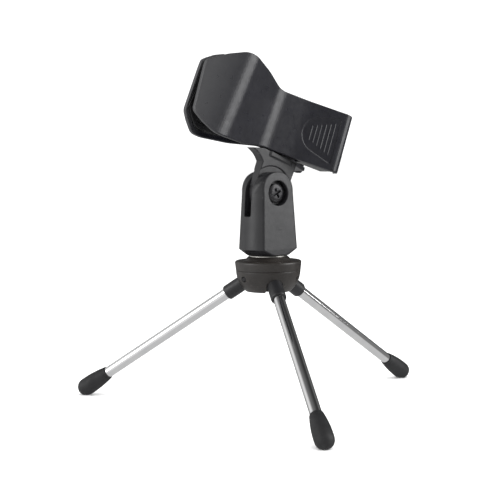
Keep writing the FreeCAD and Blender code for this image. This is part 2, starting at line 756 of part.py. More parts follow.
def make_pivot_cap():
    s = size
    body = new_body("pivot_cap")
    revolve(body, [
        (s.pivot_radius, s.cap_foot),
        (s.cap_radius, s.cap_foot),
        (s.cap_radius, s.pivot_top - 0.4),
        (s.cap_radius - 0.4, s.pivot_top),
        (s.pivot_radius, s.pivot_top),
    ])
    body.Placement = stem_frame(s.clip_rise.number, s.pivot_reach.number)
    return body


# ---------------------------------------------------------------- jaws, pads, spring

def outer_line():
    """Corners of a jaw's outer face in plan: along the clip, then out from its middle."""
    s = size
    return [
        (s.handle_end + s.lip_reach, s.handle_end_gap - s.lip_depth),
        (s.handle_end, s.handle_end_gap), (s.knee, s.knee_gap), (s.valley, s.valley_gap),
        (s.crest, s.crest_gap), (s.tip, s.tip_gap),
    ]


def inner_line(depth):
    """Corners of a line at a depth behind the outer face, mitred at each corner."""
    points = [Vector(x.number, y.number, 0) for x, y in outer_line()]
    result = []
    for number, point in enumerate(points):
        normals = []
        for first, second in ((number - 1, number), (number, number + 1)):
            if 0 <= first and second < len(points):
                run = (points[second] - points[first]).normalize()
                normals.append(Vector(-run.y, run.x, 0))
        middle = sum(normals[1:], normals[0]).normalize()
        result.append(point + middle * (depth / middle.dot(normals[0])))
    return [(place.x, place.y) for place in result]


def place_at(first, second, where):
    """The point of a straight line at a place along the clip."""
    share = (where - first[0]) / (second[0] - first[0])
    return (where, first[1] + (second[1] - first[1]) * share)


def fanned(corners, level):
    """Corners in plan at a level above the clip's middle, where its lines have spread."""
    return [(as_dim(x) + (size.handle_end - x) * size.fan * level, y) for x, y in corners]


def raise_fanned(body, corners, arcs=None):
    """A full-height solid whose upright lines spread towards the jaws' tips."""
    sketches = []
    for level in (-size.jaw_half_height, size.jaw_half_height):
        sketch = new_sketch(body, "XY_Plane", along(level))
        sketches.append(draw_outline(sketch, fanned(corners, level), arcs))
    loft = body.newObject("PartDesign::AdditiveLoft", body.Name + "_loft")
    loft.Profile = sketches[0]
    loft.Sections = sketches[1:]
    loft.Ruled = True
    doc.recompute()
    return loft


def side_outline(inset):
    """Upper half of a jaw's outline in side view, from handle to tip."""
    s = size
    half = s.handle_half_height - inset
    crest_half = s.jaw_half_height - inset
    return [
        (s.handle_end + s.lip_reach, half), (s.valley, half), (s.valley - 14, half + 4),
        (s.crest + 3, crest_half - 0.2), (s.crest - 3, crest_half),
        (s.crest - 10, crest_half - 3.7), (s.tip + 2.6 + inset / 2, s.tip_half_height + 2.4 - inset),
        (s.tip + inset / 2, s.tip_half_height - inset),
    ]


def trim_to_side_outline(body, inset):
    """Cut away what lies outside the jaw's outline in side view."""
    upper = side_outline(inset)
    far_left = size.tip - 5
    far_right = size.handle_end + 5
    for side in (1, -1):
        edge = [(x, y * side) for x, y in upper]
        last = edge[-1]
        corners = [(far_right, edge[0][1])] + edge[1:] + [
            (far_left, last[1]), (far_left, as_dim(FAR * side)), (far_right, as_dim(FAR * side)),
        ]
        pocket(body, "XZ_Plane", corners, FAR)


def make_jaw(label, side, eyes):
    """One jaw with its handle. side is -1 for the front jaw, +1 for the rear one."""
    s = size
    body = new_body(label)
    wall = s.jaw_wall.number
    outer = outer_line()
    inner = inner_line(wall)
    inner[-1] = place_at(inner[-2], inner[-1], s.tip.number)
    raise_fanned(body, [(x, as_dim(y) * side) for x, y in outer + inner[::-1]])
    trim_to_side_outline(body, as_dim(0))
    pocket(body, "XZ_Plane", [
        (s.tip_end - FAR, -FAR), (s.tip_end, -FAR), (s.tip_end, FAR), (s.tip_end - FAR, FAR),
    ], FAR)
    roundings = (
        (outer[1], s.handle_round), (inner[1], s.handle_round - s.jaw_wall),
        (outer[3], s.valley_round), (inner[3], s.valley_round + s.jaw_wall),
        (outer[4], s.crest_round), (inner[4], s.crest_round - s.jaw_wall),
    )
    for corner, radius in roundings:
        x = as_dim(corner[0]).number
        y = as_dim(corner[1]).number * side
        round_edges(body, radius, upright_at(x, y))

    slope = (s.handle_end_gap - s.knee_gap) / (s.handle_end - s.knee)
    backed = s.jaw_wall * 0.6
    flange_start_back = s.knee_gap + (s.flange_start - s.knee) * slope - backed
    flange_end_back = s.knee_gap + (s.flange_end - s.knee) * slope - backed
    flange = [
        (s.flange_start, s.flange_start_gap * side), (s.flange_end, s.flange_end_gap * side),
        (s.flange_end, flange_end_back * side), (s.flange_start, flange_start_back * side),
    ]
    for floor in (s.handle_half_height - s.flange_wall, -s.handle_half_height):
        pad(body, "XY_Plane", flange, s.flange_wall, symmetric=False, offset=along(floor))

    pivot = (s.pivot_reach, 0)
    reach = s.knuckle_eye_radius - 0.9
    web = [
        (s.pivot_reach - reach, 0), (s.pivot_reach + reach, 0),
        (s.pivot_reach + reach, (s.knee_gap + 0.6) * side),
        (s.pivot_reach - reach, (s.knee_gap - 1.4) * side),
    ]
    for low, high in eyes:
        pad(body, "XY_Plane", web, as_dim(high - low), symmetric=False, offset=along(low))
        eye = draw_circle(new_sketch(body, "XY_Plane", along(low)), pivot, s.knuckle_eye_radius)
        add_feature(body, "Pad", eye, as_dim(high - low))
    drill(body, "XY_Plane", pivot, s.pivot_radius + s.pin_slack, FAR)
    cut_thumb_recess(body, side)
    body.Placement = stem_frame(s.clip_rise.number)
    return body


def cut_thumb_recess(body, side):
    """A shallow D-shaped recess on the outside of the handle, its round end inwards."""
    s = size
    rise = s.handle_end_gap.number - s.knee_gap.number
    flare = math.degrees(math.atan2(rise, s.handle_end.number - s.knee.number))
    turn = -flare if side < 0 else 180.0 + flare
    on_handle = FreeCAD.Placement(
        Vector(s.knee.number, 0, -s.knee_gap.number * side),
        FreeCAD.Rotation(Vector(0, 1, 0), turn))
    sense = -side
    shoulder = s.recess_shoulder * sense
    corners = [
        (s.recess_end * sense, -s.recess_half), (s.recess_end * sense, s.recess_half),
        (shoulder, s.recess_shoulder_half), (s.recess_start * sense, as_dim(0)),
        (shoulder, -s.recess_shoulder_half),
    ]
    pocket(body, "XZ_Plane", corners, s.recess_depth, symmetric=False, offset=on_handle,
           arcs={2: (s.recess_round, sense), 3: (s.recess_round, sense)})


def make_pad(label, side):
    """Rubber grip pad inside a jaw, with a round seat for the microphone."""
    s = size
    body = new_body(label)
    wall = s.jaw_wall.number
    back = inner_line(wall + s.pad_slack.number)
    face = inner_line(wall + s.pad_thickness.number)
    start = s.pad_start.number
    end = s.pad_end.number
    seat_edge = Dim(math.sqrt(s.seat_radius.number ** 2 - s.seat_half.number ** 2),
                    "sqrt(%s ^ 2 - %s ^ 2)" % (s.seat_radius.text, s.seat_half.text))
    outline = [
        place_at(back[3], back[4], start), back[4], place_at(back[4], back[5], end),
        place_at(face[4], face[5], end),
        place_at(face[4], face[5], s.seat_middle.number - s.seat_half.number - 1.5),
        (s.seat_middle - s.seat_half, seat_edge), (s.seat_middle + s.seat_half, seat_edge),
        place_at(face[3], face[4], s.seat_middle.number + s.seat_half.number + 1.5),
        place_at(face[3], face[4], start),
    ]
    raise_fanned(body, [(x, as_dim(y) * side) for x, y in outline])
    trim_to_side_outline(body, s.pad_inset)
    round_edges(body, s.crest_round - s.jaw_wall, upright_at(back[4][0], back[4][1] * side))
    lean = math.degrees(math.atan((s.handle_end - s.seat_middle).number * s.fan.number))
    seat_line = FreeCAD.Placement(
        Vector(s.seat_middle.number, 0, 0), FreeCAD.Rotation(Vector(0, 1, 0), lean))
    drill(body, "XY_Plane", (0, 0), s.seat_radius, FAR, offset=seat_line)
    body.Placement = stem_frame(s.clip_rise.number)
    return body


def make_clip_spring():
    """Torsion spring round the pivot pin; its two legs press the handles apart."""
    s = size
    radius = s.coil_radius.number
    wire = s.wire_radius.number
    reach = s.spring_leg_reach.number
    gap = s.spring_leg_gap.number
    tangent = math.degrees(math.acos(radius / math.hypot(reach, gap)))
    leg_angle = math.degrees(math.atan2(gap, reach))
    first = tangent - leg_angle
    turns = s.coil_turns.number - 2 * first / FULL_TURN
    foot = s.coil_foot.number
    height = turns * s.coil_pitch.number
    spine = Part.makeHelix(s.coil_pitch.number, height, radius)
    climb = Vector(0, 2 * math.pi * radius, s.coil_pitch.number)
    ring = Part.Wire([Part.makeCircle(wire, Vector(radius, 0, 0), climb)])
    coil = Part.Wire(spine.Edges).makePipeShell([ring], True, True)
    coil.rotate(Vector(), Vector(0, 0, 1), first)
    coil.translate(Vector(0, 0, foot))
    pieces = []
    for sense, level in ((-1, foot), (1, foot + height)):
        angle = math.radians(-first * sense)
        base = Vector(radius * math.cos(angle), radius * math.sin(angle), level)
        run = Vector(reach, gap * sense, level) - base
        pieces.append(Part.makeCylinder(wire, run.Length, base, run))
        pieces.append(Part.makeSphere(wire, base))
    spring = doc.addObject("Part::Feature", "clip_spring")
    spring.Label = "clip_spring"
    spring.Shape = coil.fuse(pieces)
    spring.Placement = stem_frame(s.clip_rise.number, s.pivot_reach.number)
    return spring


# ---------------------------------------------------------------- the whole stand

nodes = [make_hub_bowl(), make_hub_cap(), make_thread_stud(), make_hub_screw()]
for leg in range(int(size.leg_count.number)):
    nodes.append(make_leg_pin(leg))
    nodes.append(make_leg_knuckle(leg))
    nodes.append(make_leg_rod(leg))
    nodes.append(make_foot(leg))
nodes += [make_swivel_body(), make_thread_insert(), make_hinge_screw()]
nodes += [make_hinge_washer(), make_hinge_nut()]
nodes += [make_clip_stem(), make_clip_pivot_pin(), make_pivot_cap()]
nodes.append(make_jaw("front_jaw", -1, FRONT_EYES))
nodes.append(make_jaw("rear_jaw", 1, REAR_EYES))
nodes.append(make_pad("front_jaw_pad", -1))
nodes.append(make_pad("rear_jaw_pad", 1))
nodes.append(make_clip_spring())
doc.recompute()

for item in doc.Objects:
    if "Invalid" in item.State or "Error" in item.State:
        raise RuntimeError("%s did not compute: %s" % (item.Name, item.State))
for node in nodes:
    if node.Shape.isNull() or not node.Shape.isValid():
        raise RuntimeError("%s has no valid shape" % node.Label)

os.makedirs("parts", exist_ok=True)
for node in nodes:
    node.Shape.exportStep("parts/%s.step" % node.Label)
    print("%-16s %9.1f mm3, solids %d" % (node.Label, node.Shape.Volume, len(node.Shape.Solids)))
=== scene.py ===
import json
import math

import bpy
import numpy as np
from mathutils import Matrix, Vector

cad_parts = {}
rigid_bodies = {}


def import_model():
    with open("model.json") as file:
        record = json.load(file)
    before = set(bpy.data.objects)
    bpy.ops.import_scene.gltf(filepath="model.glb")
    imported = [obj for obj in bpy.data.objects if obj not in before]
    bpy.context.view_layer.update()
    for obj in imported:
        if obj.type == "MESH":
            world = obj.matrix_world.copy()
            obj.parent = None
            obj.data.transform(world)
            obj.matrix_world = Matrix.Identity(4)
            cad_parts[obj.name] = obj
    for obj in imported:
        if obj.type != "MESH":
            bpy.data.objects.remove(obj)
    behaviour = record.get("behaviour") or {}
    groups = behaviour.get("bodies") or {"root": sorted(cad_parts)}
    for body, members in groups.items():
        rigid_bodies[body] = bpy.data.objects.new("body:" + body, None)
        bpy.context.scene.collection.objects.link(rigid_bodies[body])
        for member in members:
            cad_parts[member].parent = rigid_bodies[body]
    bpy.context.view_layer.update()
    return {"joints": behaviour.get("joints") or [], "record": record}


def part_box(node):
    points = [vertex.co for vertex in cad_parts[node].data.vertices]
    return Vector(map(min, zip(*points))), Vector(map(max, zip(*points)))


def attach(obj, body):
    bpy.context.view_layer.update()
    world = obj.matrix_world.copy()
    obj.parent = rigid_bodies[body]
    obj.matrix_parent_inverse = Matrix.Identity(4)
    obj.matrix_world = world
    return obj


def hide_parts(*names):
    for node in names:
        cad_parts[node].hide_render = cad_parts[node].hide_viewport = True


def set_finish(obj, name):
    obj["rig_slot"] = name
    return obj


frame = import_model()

# A desktop microphone stand. Shapes are described in millimetres as signed distances
# (negative inside), meshed on a grid, and set in metres where the frame's joints are.

MM = 0.001
TINY = 1e-9

# ---------------------------------------------------------------- places from the frame

JOINTS = {joint["name"]: joint for joint in frame["joints"]}
HINGE = Vector(JOINTS["clip_tilt"]["pos_m"]) / MM
CLIP_UP = Vector(JOINTS["front_jaw_open"]["axis"]).normalized()
JAW_PIVOT = Vector(JOINTS["front_jaw_open"]["pos_m"]) / MM
LEGS = [JOINTS["leg_%d_fold" % number] for number in (1, 2, 3)]
LEG_SLOPE = math.radians(33.2)


def place(origin, x_axis, y_axis):
    """A matrix from a piece's own millimetres to the frame's metres."""
    x_axis = Vector(x_axis).normalized()
    y_axis = Vector(y_axis).normalized()
    z_axis = x_axis.cross(y_axis)
    turn = Matrix((x_axis, y_axis, z_axis)).transposed().to_4x4()
    return Matrix.Scale(MM, 4) @ Matrix.Translation(Vector(origin)) @ turn


UPRIGHT = Matrix.Scale(MM, 4)
CLIP_ACROSS = Vector((0, 1, 0))
CLIP_ALONG = CLIP_ACROSS.cross(CLIP_UP)
AT_HINGE = place(HINGE, (1, 0, 0), (0, 1, 0))
AT_CLIP = place(HINGE, CLIP_ALONG, CLIP_ACROSS)
AT_PIVOT = place(JAW_PIVOT, CLIP_ALONG, CLIP_ACROSS)
CLIP_MIDDLE = (JAW_PIVOT - HINGE).dot(CLIP_UP)
PIVOT_REACH = (JAW_PIVOT - HINGE).dot(CLIP_ALONG)


def leg_place(joint):
    """X runs down the leg from the hub's axis, Y lies along its hinge pin."""
    pin = Vector(joint["pos_m"]) / MM
    across = Vector(joint["axis"])
    outward = across.cross(Vector((0, 0, 1)))
    down = outward * math.cos(LEG_SLOPE) - Vector((0, 0, 1)) * math.sin(LEG_SLOPE)
    top = pin - down * (Vector((pin.x, pin.y, 0)).length / math.cos(LEG_SLOPE))
    return place(top, down, across)


def heading(joint):
    """The leg's direction in plan, as an angle from +X."""
    return math.atan2(joint["pos_m"][1], joint["pos_m"][0])


def size_of(node):
    """A node's lowest and highest corners in millimetres."""
    low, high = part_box(node)
    return low / MM, high / MM


# ---------------------------------------------------------------- signed distances

def polygon(x, y, corners):
    """Signed distance to a closed polygon."""
    form = np.broadcast_shapes(np.shape(x), np.shape(y))
    nearest = np.full(form, np.inf)
    inside = np.zeros(form, bool)
    for (x0, y0), (x1, y1) in zip(corners, corners[1:] + corners[:1]):
        run_x = x1 - x0
        run_y = y1 - y0
        share = ((x - x0) * run_x + (y - y0) * run_y) / (run_x ** 2 + run_y ** 2 + TINY)
        share = np.clip(share, 0.0, 1.0)
        nearest = np.minimum(nearest, np.hypot(x - x0 - run_x * share, y - y0 - run_y * share))
        crosses = (y0 > y) != (y1 > y)
        with np.errstate(divide="ignore", invalid="ignore"):
            left = x < run_x * (y - y0) / (y1 - y0 if y1 != y0 else TINY) + x0
        inside ^= crosses & left
    return np.where(inside, -nearest, nearest)


def shrink(corners, depth):
    """A polygon moved inwards by depth, mitred at its corners."""
    area = sum(a[0] * b[1] - b[0] * a[1] for a, b in zip(corners, corners[1:] + corners[:1]))
    sense = 1.0 if area > 0 else -1.0
    result = []
    for number, corner in enumerate(corners):
        before = Vector(corner) - Vector(corners[number - 1])
        after = Vector(corners[(number + 1) % len(corners)]) - Vector(corner)
        before.normalize()
        after.normalize()
        first = Vector((-before.y, before.x)) * sense
        second = Vector((-after.y, after.x)) * sense
        middle = (first + second).normalized()
        moved = Vector(corner) + middle * (depth / max(middle.dot(first), 0.2))
        result.append((moved.x, moved.y))
    return result


def soft_polygon(x, y, corners, radius):
    """A polygon whose outward corners are rounded to radius."""
    return polygon(x, y, shrink(corners, radius)) - radius


def rounded(line, radii, pieces=8):
    """An open line whose inner corners become arcs of the given radii."""
    result = [tuple(line[0])]
    for number in range(1, len(line) - 1):
        corner = Vector(line[number])
        before = (corner - Vector(line[number - 1])).normalized()
        after = (Vector(line[number + 1]) - corner).normalized()
        turn = before.x * after.y - before.y * after.x
        angle = before.angle(after)
        cut = radii[number - 1] * math.tan(angle / 2)
        side = 1 if turn > 0 else -1
        result += arc(corner - before * cut, corner + after * cut, radii[number - 1], side,
                      pieces)
    return result + [tuple(line[-1])]


def behind(line, depth):
    """An open line moved to its left by depth, mitred at its corners."""
    result = []
    for number, corner in enumerate(line):
        sides = []
        for first, second in ((number - 1, number), (number, number + 1)):
            if 0 <= first and second < len(line):
                run = (Vector(line[second]) - Vector(line[first])).normalized()
                sides.append(Vector((-run.y, run.x)))
        middle = sum(sides[1:], sides[0]).normalized()
        moved = Vector(corner) + middle * (depth / middle.dot(sides[0]))
        result.append((moved.x, moved.y))
    return result


def on_line(first, second, place_x):
    """The point of a straight line at a place along x."""
    share = (place_x - first[0]) / (second[0] - first[0])
    return (place_x, first[1] + (second[1] - first[1]) * share)


def arc(start, end, radius, side, pieces=10):
    """Points from start to end on an arc; side is +1 where its centre lies to the left."""
    start = Vector(start)
    end = Vector(end)
    chord = end - start
    left = Vector((-chord.y, chord.x)).normalized()
    rise = math.sqrt(max(radius ** 2 - (chord.length / 2) ** 2, 0.0))
    centre = (start + end) / 2 + left * rise * side
    first = math.atan2(start.y - centre.y, start.x - centre.x)
    turn = math.atan2(end.y - centre.y, end.x - centre.x) - first
    turn = (turn + math.pi) % (2 * math.pi) - math.pi
    angles = [first + turn * number / pieces for number in range(pieces + 1)]
    return [(centre.x + radius * math.cos(a), centre.y + radius * math.sin(a)) for a in angles]


def both(a, b, radius=0.0):
    """What lies in both shapes, with the edge between them rounded."""
    if radius <= 0:
        return np.maximum(a, b)
    outer = np.hypot(np.maximum(a + radius, 0), np.maximum(b + radius, 0)) - radius
    return np.where((a > -radius) & (b > -radius), outer, np.maximum(a, b))


def either(a, b, radius=0.0):
    """What lies in either shape, with the corner between them filled."""
    return -both(-a, -b, radius)


def without(a, b, radius=0.0):
    """The first shape less the second, with the cut's edge rounded."""
    return both(a, -b, radius)


def slab(value, low, high):
    """What lies between two levels."""
    return np.maximum(low - value, value - high)


def rod_shape(x, y, radius):
    """An endless round rod."""
    return np.hypot(x, y) - radius


# ---------------------------------------------------------------- meshing

def grid_surface(distance, low, high, step):
    """Vertices and faces of the surface where distance is zero, one vertex a cell."""
    counts = [int(math.ceil((high[i] - low[i]) / step)) + 1 for i in range(3)]
    axes = [low[i] + step * np.arange(counts[i]) for i in range(3)]
    values = distance(*np.meshgrid(*axes, indexing="ij", sparse=True))
    cells = np.array(values.shape) - 1
    spots = []
    quads = []
    for axis in range(3):
        first = np.moveaxis(values, axis, 0)[:-1]
        second = np.moveaxis(values, axis, 0)[1:]
        crossing = np.moveaxis((first < 0) != (second < 0), 0, axis)
        where = np.argwhere(crossing)
        start = values[tuple(where.T)]
        beyond = where.copy()
        beyond[:, axis] += 1
        end = values[tuple(beyond.T)]
        spot = where.astype(float)
        spot[:, axis] += start / (start - end)
        others = ((axis + 1) % 3, (axis + 2) % 3)
        ring = []
        for shift in ((0, 0), (1, 0), (1, 1), (0, 1)):
            cell = where.copy()
            cell[:, others[0]] -= shift[0]
            cell[:, others[1]] -= shift[1]
            ring.append(np.ravel_multi_index(tuple(np.clip(cell, 0, cells - 1).T), cells))
            spots.append((ring[-1], spot))
        ring = np.stack(ring, axis=1)
        ring[start >= 0] = ring[start >= 0][:, ::-1]
        quads.append(ring)
    owners = np.concatenate([item[0] for item in spots])
    spots = np.concatenate([item[1] for item in spots])
    used, index = np.unique(owners, return_inverse=True)
    count = np.bincount(index)
    points = np.stack([np.bincount(index, spots[:, i]) / count for i in range(3)], axis=1)
    faces = np.searchsorted(used, np.concatenate(quads))
    return np.array(low) + points * step, faces


def slope_of(distance, points, reach):
    """The distance's gradient at points."""
    result = np.empty_like(points)
    for axis in range(3):
        ahead = points.copy()
        behind = points.copy()
        ahead[:, axis] += reach
        behind[:, axis] -= reach
        result[:, axis] = (distance(*ahead.T) - distance(*behind.T)) / (2 * reach)
    return result


def new_mesh_object(name, points, faces, normals, matrix):
    """A smooth mesh object in the frame, from a piece's own millimetres.

    faces is a plain list. normals are one direction a vertex, or None for Blender's own.
    """
    matrix_rows = np.array(matrix)
    placed = points @ matrix_rows[:3, :3].T + matrix_rows[:3, 3]
    mesh = bpy.data.meshes.new(name)
    mesh.from_pydata(placed.tolist(), [], faces)
    mesh.polygons.foreach_set("use_smooth", np.ones(len(mesh.polygons), bool))
    if normals is not None:
        turned = normals @ matrix_rows[:3, :3].T
        turned /= np.linalg.norm(turned, axis=1, keepdims=True) + TINY
        mesh.normals_split_custom_set_from_vertices(turned.tolist())
    mesh.update()
    piece = bpy.data.objects.new(name, mesh)
    bpy.context.scene.collection.objects.link(piece)
    return piece


def solid(name, distance, low, high, step, matrix):
    """A piece from its signed distance: meshed, drawn onto the surface, exactly shaded."""
    margin = step * 1.5
    low = [value - margin for value in low]
    high = [value + margin for value in high]
    points, faces = grid_surface(distance, low, high, step)
    reach = step * 0.04
    for _ in range(3):
        slope = slope_of(distance, points, reach)
        steepness = (slope ** 2).sum(axis=1) + TINY
        move = slope * (distance(*points.T) / steepness)[:, None]
        length = np.linalg.norm(move, axis=1, keepdims=True)
        points -= move * np.minimum(1.0, step * 0.5 / (length + TINY))
    normals = slope_of(distance, points, reach)
    return new_mesh_object(name, points, faces.tolist(), normals, matrix)


def turned(name, profile, matrix, segments=96, axis=2, edge=0.12):
    """A turned piece from an outline of (radius, place) points, given anticlockwise.

    An outline that starts and ends on the axis is a shaft; any other is a closed ring.
    """
    angles = np.linspace(0, 2 * math.pi, segments, endpoint=False)
    shaft = profile[0][0] == 0
    outline = profile[1:-1] if shaft else profile
    points = []
    for radius, height in outline:
        ring = np.zeros((segments, 3))
        ring[:, (axis + 1) % 3] = radius * np.cos(angles)
        ring[:, (axis + 2) % 3] = radius * np.sin(angles)
        ring[:, axis] = height
        points += ring.tolist()
    rows = len(outline)
    faces = []
    for row in range(rows - 1 if shaft else rows):
        following = (row + 1) % rows * segments
        for number in range(segments):
            other = (number + 1) % segments
            faces.append((row * segments + number, row * segments + other,
                          following + other, following + number))
    if shaft:
        faces.append(tuple(range(segments - 1, -1, -1)))
        faces.append(tuple((rows - 1) * segments + number for number in range(segments)))
    piece = new_mesh_object(name, np.array(points), faces, None, matrix)
    bevel = piece.modifiers.new("edges", "BEVEL")
    bevel.width = edge * MM
    bevel.segments = 3
    bevel.limit_method = "ANGLE"
    bevel.angle_limit = math.radians(25)
    bevel.harden_normals = True
    return piece


def wire(name, path, radius, matrix):
    """A round wire along a path of points, with rounded ends."""
    line = [Vector(point) for point in path]
    sides = 14
    rows = []
    normal = Vector((0, 0, 1))
    for number, point in enumerate(line):
        ahead = line[min(number + 1, len(line) - 1)]
        back = line[max(number - 1, 0)]
        run = (ahead - back).normalized()
        normal = (normal - run * normal.dot(run)).normalized()
        other = run.cross(normal)
        ends = []
        if number == 0:
            ends = [(-1.0, 0.35), (-0.75, 0.75)]
        if number == len(line) - 1:
            ends = [(0.75, 0.75), (1.0, 0.35)]
        first = [(shift, share) for shift, share in ends if shift < 0]
        last = [(shift, share) for shift, share in ends if shift > 0]
        for shift, share in first + [(0.0, 1.0)] + last:
            middle = point + run * (shift * radius)
            rows.append([middle + (normal * math.cos(a) + other * math.sin(a)) * radius * share
                         for a in (2 * math.pi * k / sides for k in range(sides))])
    points = np.array([tuple(point) for row in rows for point in row])
    faces = []
    for row in range(len(rows) - 1):
        for k in range(sides):
            other = (k + 1) % sides
            faces.append((row * sides + k, row * sides + other,
                          (row + 1) * sides + other, (row + 1) * sides + k))
    faces.append(tuple(range(sides - 1, -1, -1)))
    faces.append(tuple((len(rows) - 1) * sides + k for k in range(sides)))
    return new_mesh_object(name, points, faces, None, matrix)


# ---------------------------------------------------------------- what each piece stands for

RECORD = frame["record"]
NODE_BODY = {node: body for body, nodes in RECORD["behaviour"]["bodies"].items()
             for node in nodes}
NODE_SLOT = {item["node"]: item["material_slot"] for item in RECORD["subparts"]}


def stands_for(piece, node, body=None):
    """Tie a piece to the CAD node it stands for, on that node's body."""
    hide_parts(node)
    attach(piece, body or NODE_BODY[node])
    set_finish(piece, NODE_SLOT[node])
    return piece


# ---------------------------------------------------------------- hub of the tripod

LEG_LINE = 67.3         # height where the leg axes meet on the hub's axis
PIN_REACH = Vector((LEGS[0]["pos_m"][0], LEGS[0]["pos_m"][1])).length / MM
PIN_HEIGHT = LEGS[0]["pos_m"][2] / MM
PIN_RADIUS, PIN_HIDDEN_END, PIN_SHOWN_END = 1.2, 7.0, 11.5
BOWL_FOOT, SPLIT, RIM, BOSS = 55.2, 65.5, 70.0, 72.0            # heights
BOWL_FOOT_RADIUS, BOWL_RADIUS, CAP_RADIUS = 10.75, 15.6, 16.0
BOWL_SIDE_ARC = 14.5
HEAD_SEAT, HEAD_FOOT, HEAD_RADIUS, COUNTERBORE = 57.5, 55.3, 3.9, 4.1
HUB_SCREW_RADIUS, HUB_SCREW_TIP, HOLE_SLACK = 2.5, 77.0, 0.05
SLOT_INNER, SLOT_OUTER, SLOT_HALF = 4.8, 13.6, 3.8              # tall part of a leg slot
ARCH_HALF, ARCH_SPRING = 4.8, 58.1                              # arched mouth of a leg slot


def hub_bowl_shape(x, y, z):
    around = np.hypot(x, y)
    hole = HUB_SCREW_RADIUS + HOLE_SLACK
    outline = [(hole, HEAD_SEAT), (COUNTERBORE, HEAD_SEAT), (COUNTERBORE, BOWL_FOOT)]
    outline += arc((BOWL_FOOT_RADIUS, BOWL_FOOT), (BOWL_RADIUS, SPLIT), BOWL_SIDE_ARC, 1)
    outline += [(hole, SPLIT)]
    shape = soft_polygon(around, z, outline, 0.35)
    arch = [(-ARCH_HALF, BOWL_FOOT - 2), (ARCH_HALF, BOWL_FOOT - 2)]
    arch += arc((ARCH_HALF, ARCH_SPRING), (-ARCH_HALF, ARCH_SPRING), ARCH_HALF, 1, 16)
    for joint in LEGS:
        turn = heading(joint)
        out = x * math.cos(turn) + y * math.sin(turn)
        across = y * math.cos(turn) - x * math.sin(turn)
        tall = both(slab(out, SLOT_INNER, SLOT_OUTER), np.abs(across) - SLOT_HALF, 0.5)
        mouth = both(SLOT_OUTER - 1 - out, polygon(across, z, arch))
        shape = without(shape, tall, 0.3)
        shape = without(shape, mouth, 0.45)
        bore = rod_shape(out - PIN_REACH, z - PIN_HEIGHT, PIN_RADIUS + 0.12)
        bore = both(bore, -PIN_HIDDEN_END - 0.2 - across)
        shape = without(shape, bore, 0.12)
    return shape


HUB_BOX = size_of("hub_bowl")
hub_bowl = solid("hub_bowl_moulding", hub_bowl_shape, HUB_BOX[0], HUB_BOX[1], 0.3, UPRIGHT)
stands_for(hub_bowl, "hub_bowl")

SPIGOT = 5.0            # radius of the stud's spigot inside the cap
hub_cap = turned("hub_cap_moulding", [
    (SPIGOT, SPLIT), (BOWL_RADIUS, SPLIT), (CAP_RADIUS - 0.03, RIM - 1.3),
    (CAP_RADIUS, RIM - 0.9), (CAP_RADIUS - 0.15, RIM - 0.35), (CAP_RADIUS - 0.6, RIM),
    (11.9, RIM), (11.4, RIM + 0.15), (9.7, BOSS - 0.2), (9.4, BOSS), (SPIGOT, BOSS),
], UPRIGHT, segments=160, edge=0.18)
stands_for(hub_cap, "hub_cap")

# The stud's thread: shallow ridges at 27 to the inch, under a bevelled top.
FLANGE_RADIUS, FLANGE_TOP, SPIGOT_FOOT = 9.25, BOSS + 0.55, 66.5
THREAD_TOP, STUD_TOP, THREAD_CREST, THREAD_ROOT = 82.6, 83.5, 7.93, 7.45
ridge = 25.4 / 27
thread = []
height = FLANGE_TOP + 0.6
while height + ridge < THREAD_TOP:
    thread += [(THREAD_ROOT, height), (THREAD_CREST, height + ridge / 2)]
    height += ridge
stud = turned("stud_turned", [
    (HUB_SCREW_RADIUS, SPIGOT_FOOT), (SPIGOT, SPIGOT_FOOT), (SPIGOT, BOSS), (FLANGE_RADIUS, BOSS),
    (FLANGE_RADIUS, FLANGE_TOP), (THREAD_ROOT, FLANGE_TOP),
] + thread + [
    (THREAD_ROOT, THREAD_TOP), (7.1, STUD_TOP), (HUB_SCREW_RADIUS, STUD_TOP),
], UPRIGHT, edge=0.1)
stands_for(stud, "thread_stud")


CROSS_REACH, CROSS_HALF, CROSS_DEPTH = 2.5, 0.55, 1.4


def cross_cut(u, v, depth):
    """A cross-head driver's recess, sunk from depth 0 and narrowing as it goes."""
    narrow = depth * 0.22
    reach = CROSS_REACH - narrow * 2
    half = CROSS_HALF - narrow * 0.4
    long_arm = both(np.abs(u) - reach, np.abs(v) - half)
    tall_arm = both(np.abs(v) - reach, np.abs(u) - half)
    return both(either(long_arm, tall_arm, 0.3), depth - CROSS_DEPTH)


def hub_screw_shape(x, y, z):
    around = np.hypot(x, y)
    outline = [(-1, HEAD_FOOT), (2.3, HEAD_FOOT), (3.3, HEAD_FOOT + 0.25), (3.8, HEAD_FOOT + 0.8),
               (HEAD_RADIUS, HEAD_FOOT + 1.2), (HEAD_RADIUS, HEAD_SEAT),
               (HUB_SCREW_RADIUS, HEAD_SEAT), (HUB_SCREW_RADIUS, HUB_SCREW_TIP),
               (-1, HUB_SCREW_TIP)]
    shape = soft_polygon(around, z, outline, 0.15)
    return without(shape, cross_cut(x, y, z - HEAD_FOOT), 0.15)


SCREW_BOX = size_of("hub_screw")
hub_screw = solid("hub_screw_pan_head", hub_screw_shape, SCREW_BOX[0], SCREW_BOX[1], 0.22, UPRIGHT)
stands_for(hub_screw, "hub_screw")

# ---------------------------------------------------------------- legs

PIN_ON_LEG = PIN_REACH / math.cos(LEG_SLOPE)
ROD_RADIUS, ROD_START, ROD_END = 2.75, 16.5, 112.0
COLLAR_RADIUS, COLLAR_END, EYE_RADIUS, EYE_HALF = 3.7, 25.2, 3.5, 3.4
FOOT_START, FOOT_END, FOOT_RADIUS = 101.4, 120.2, 4.45


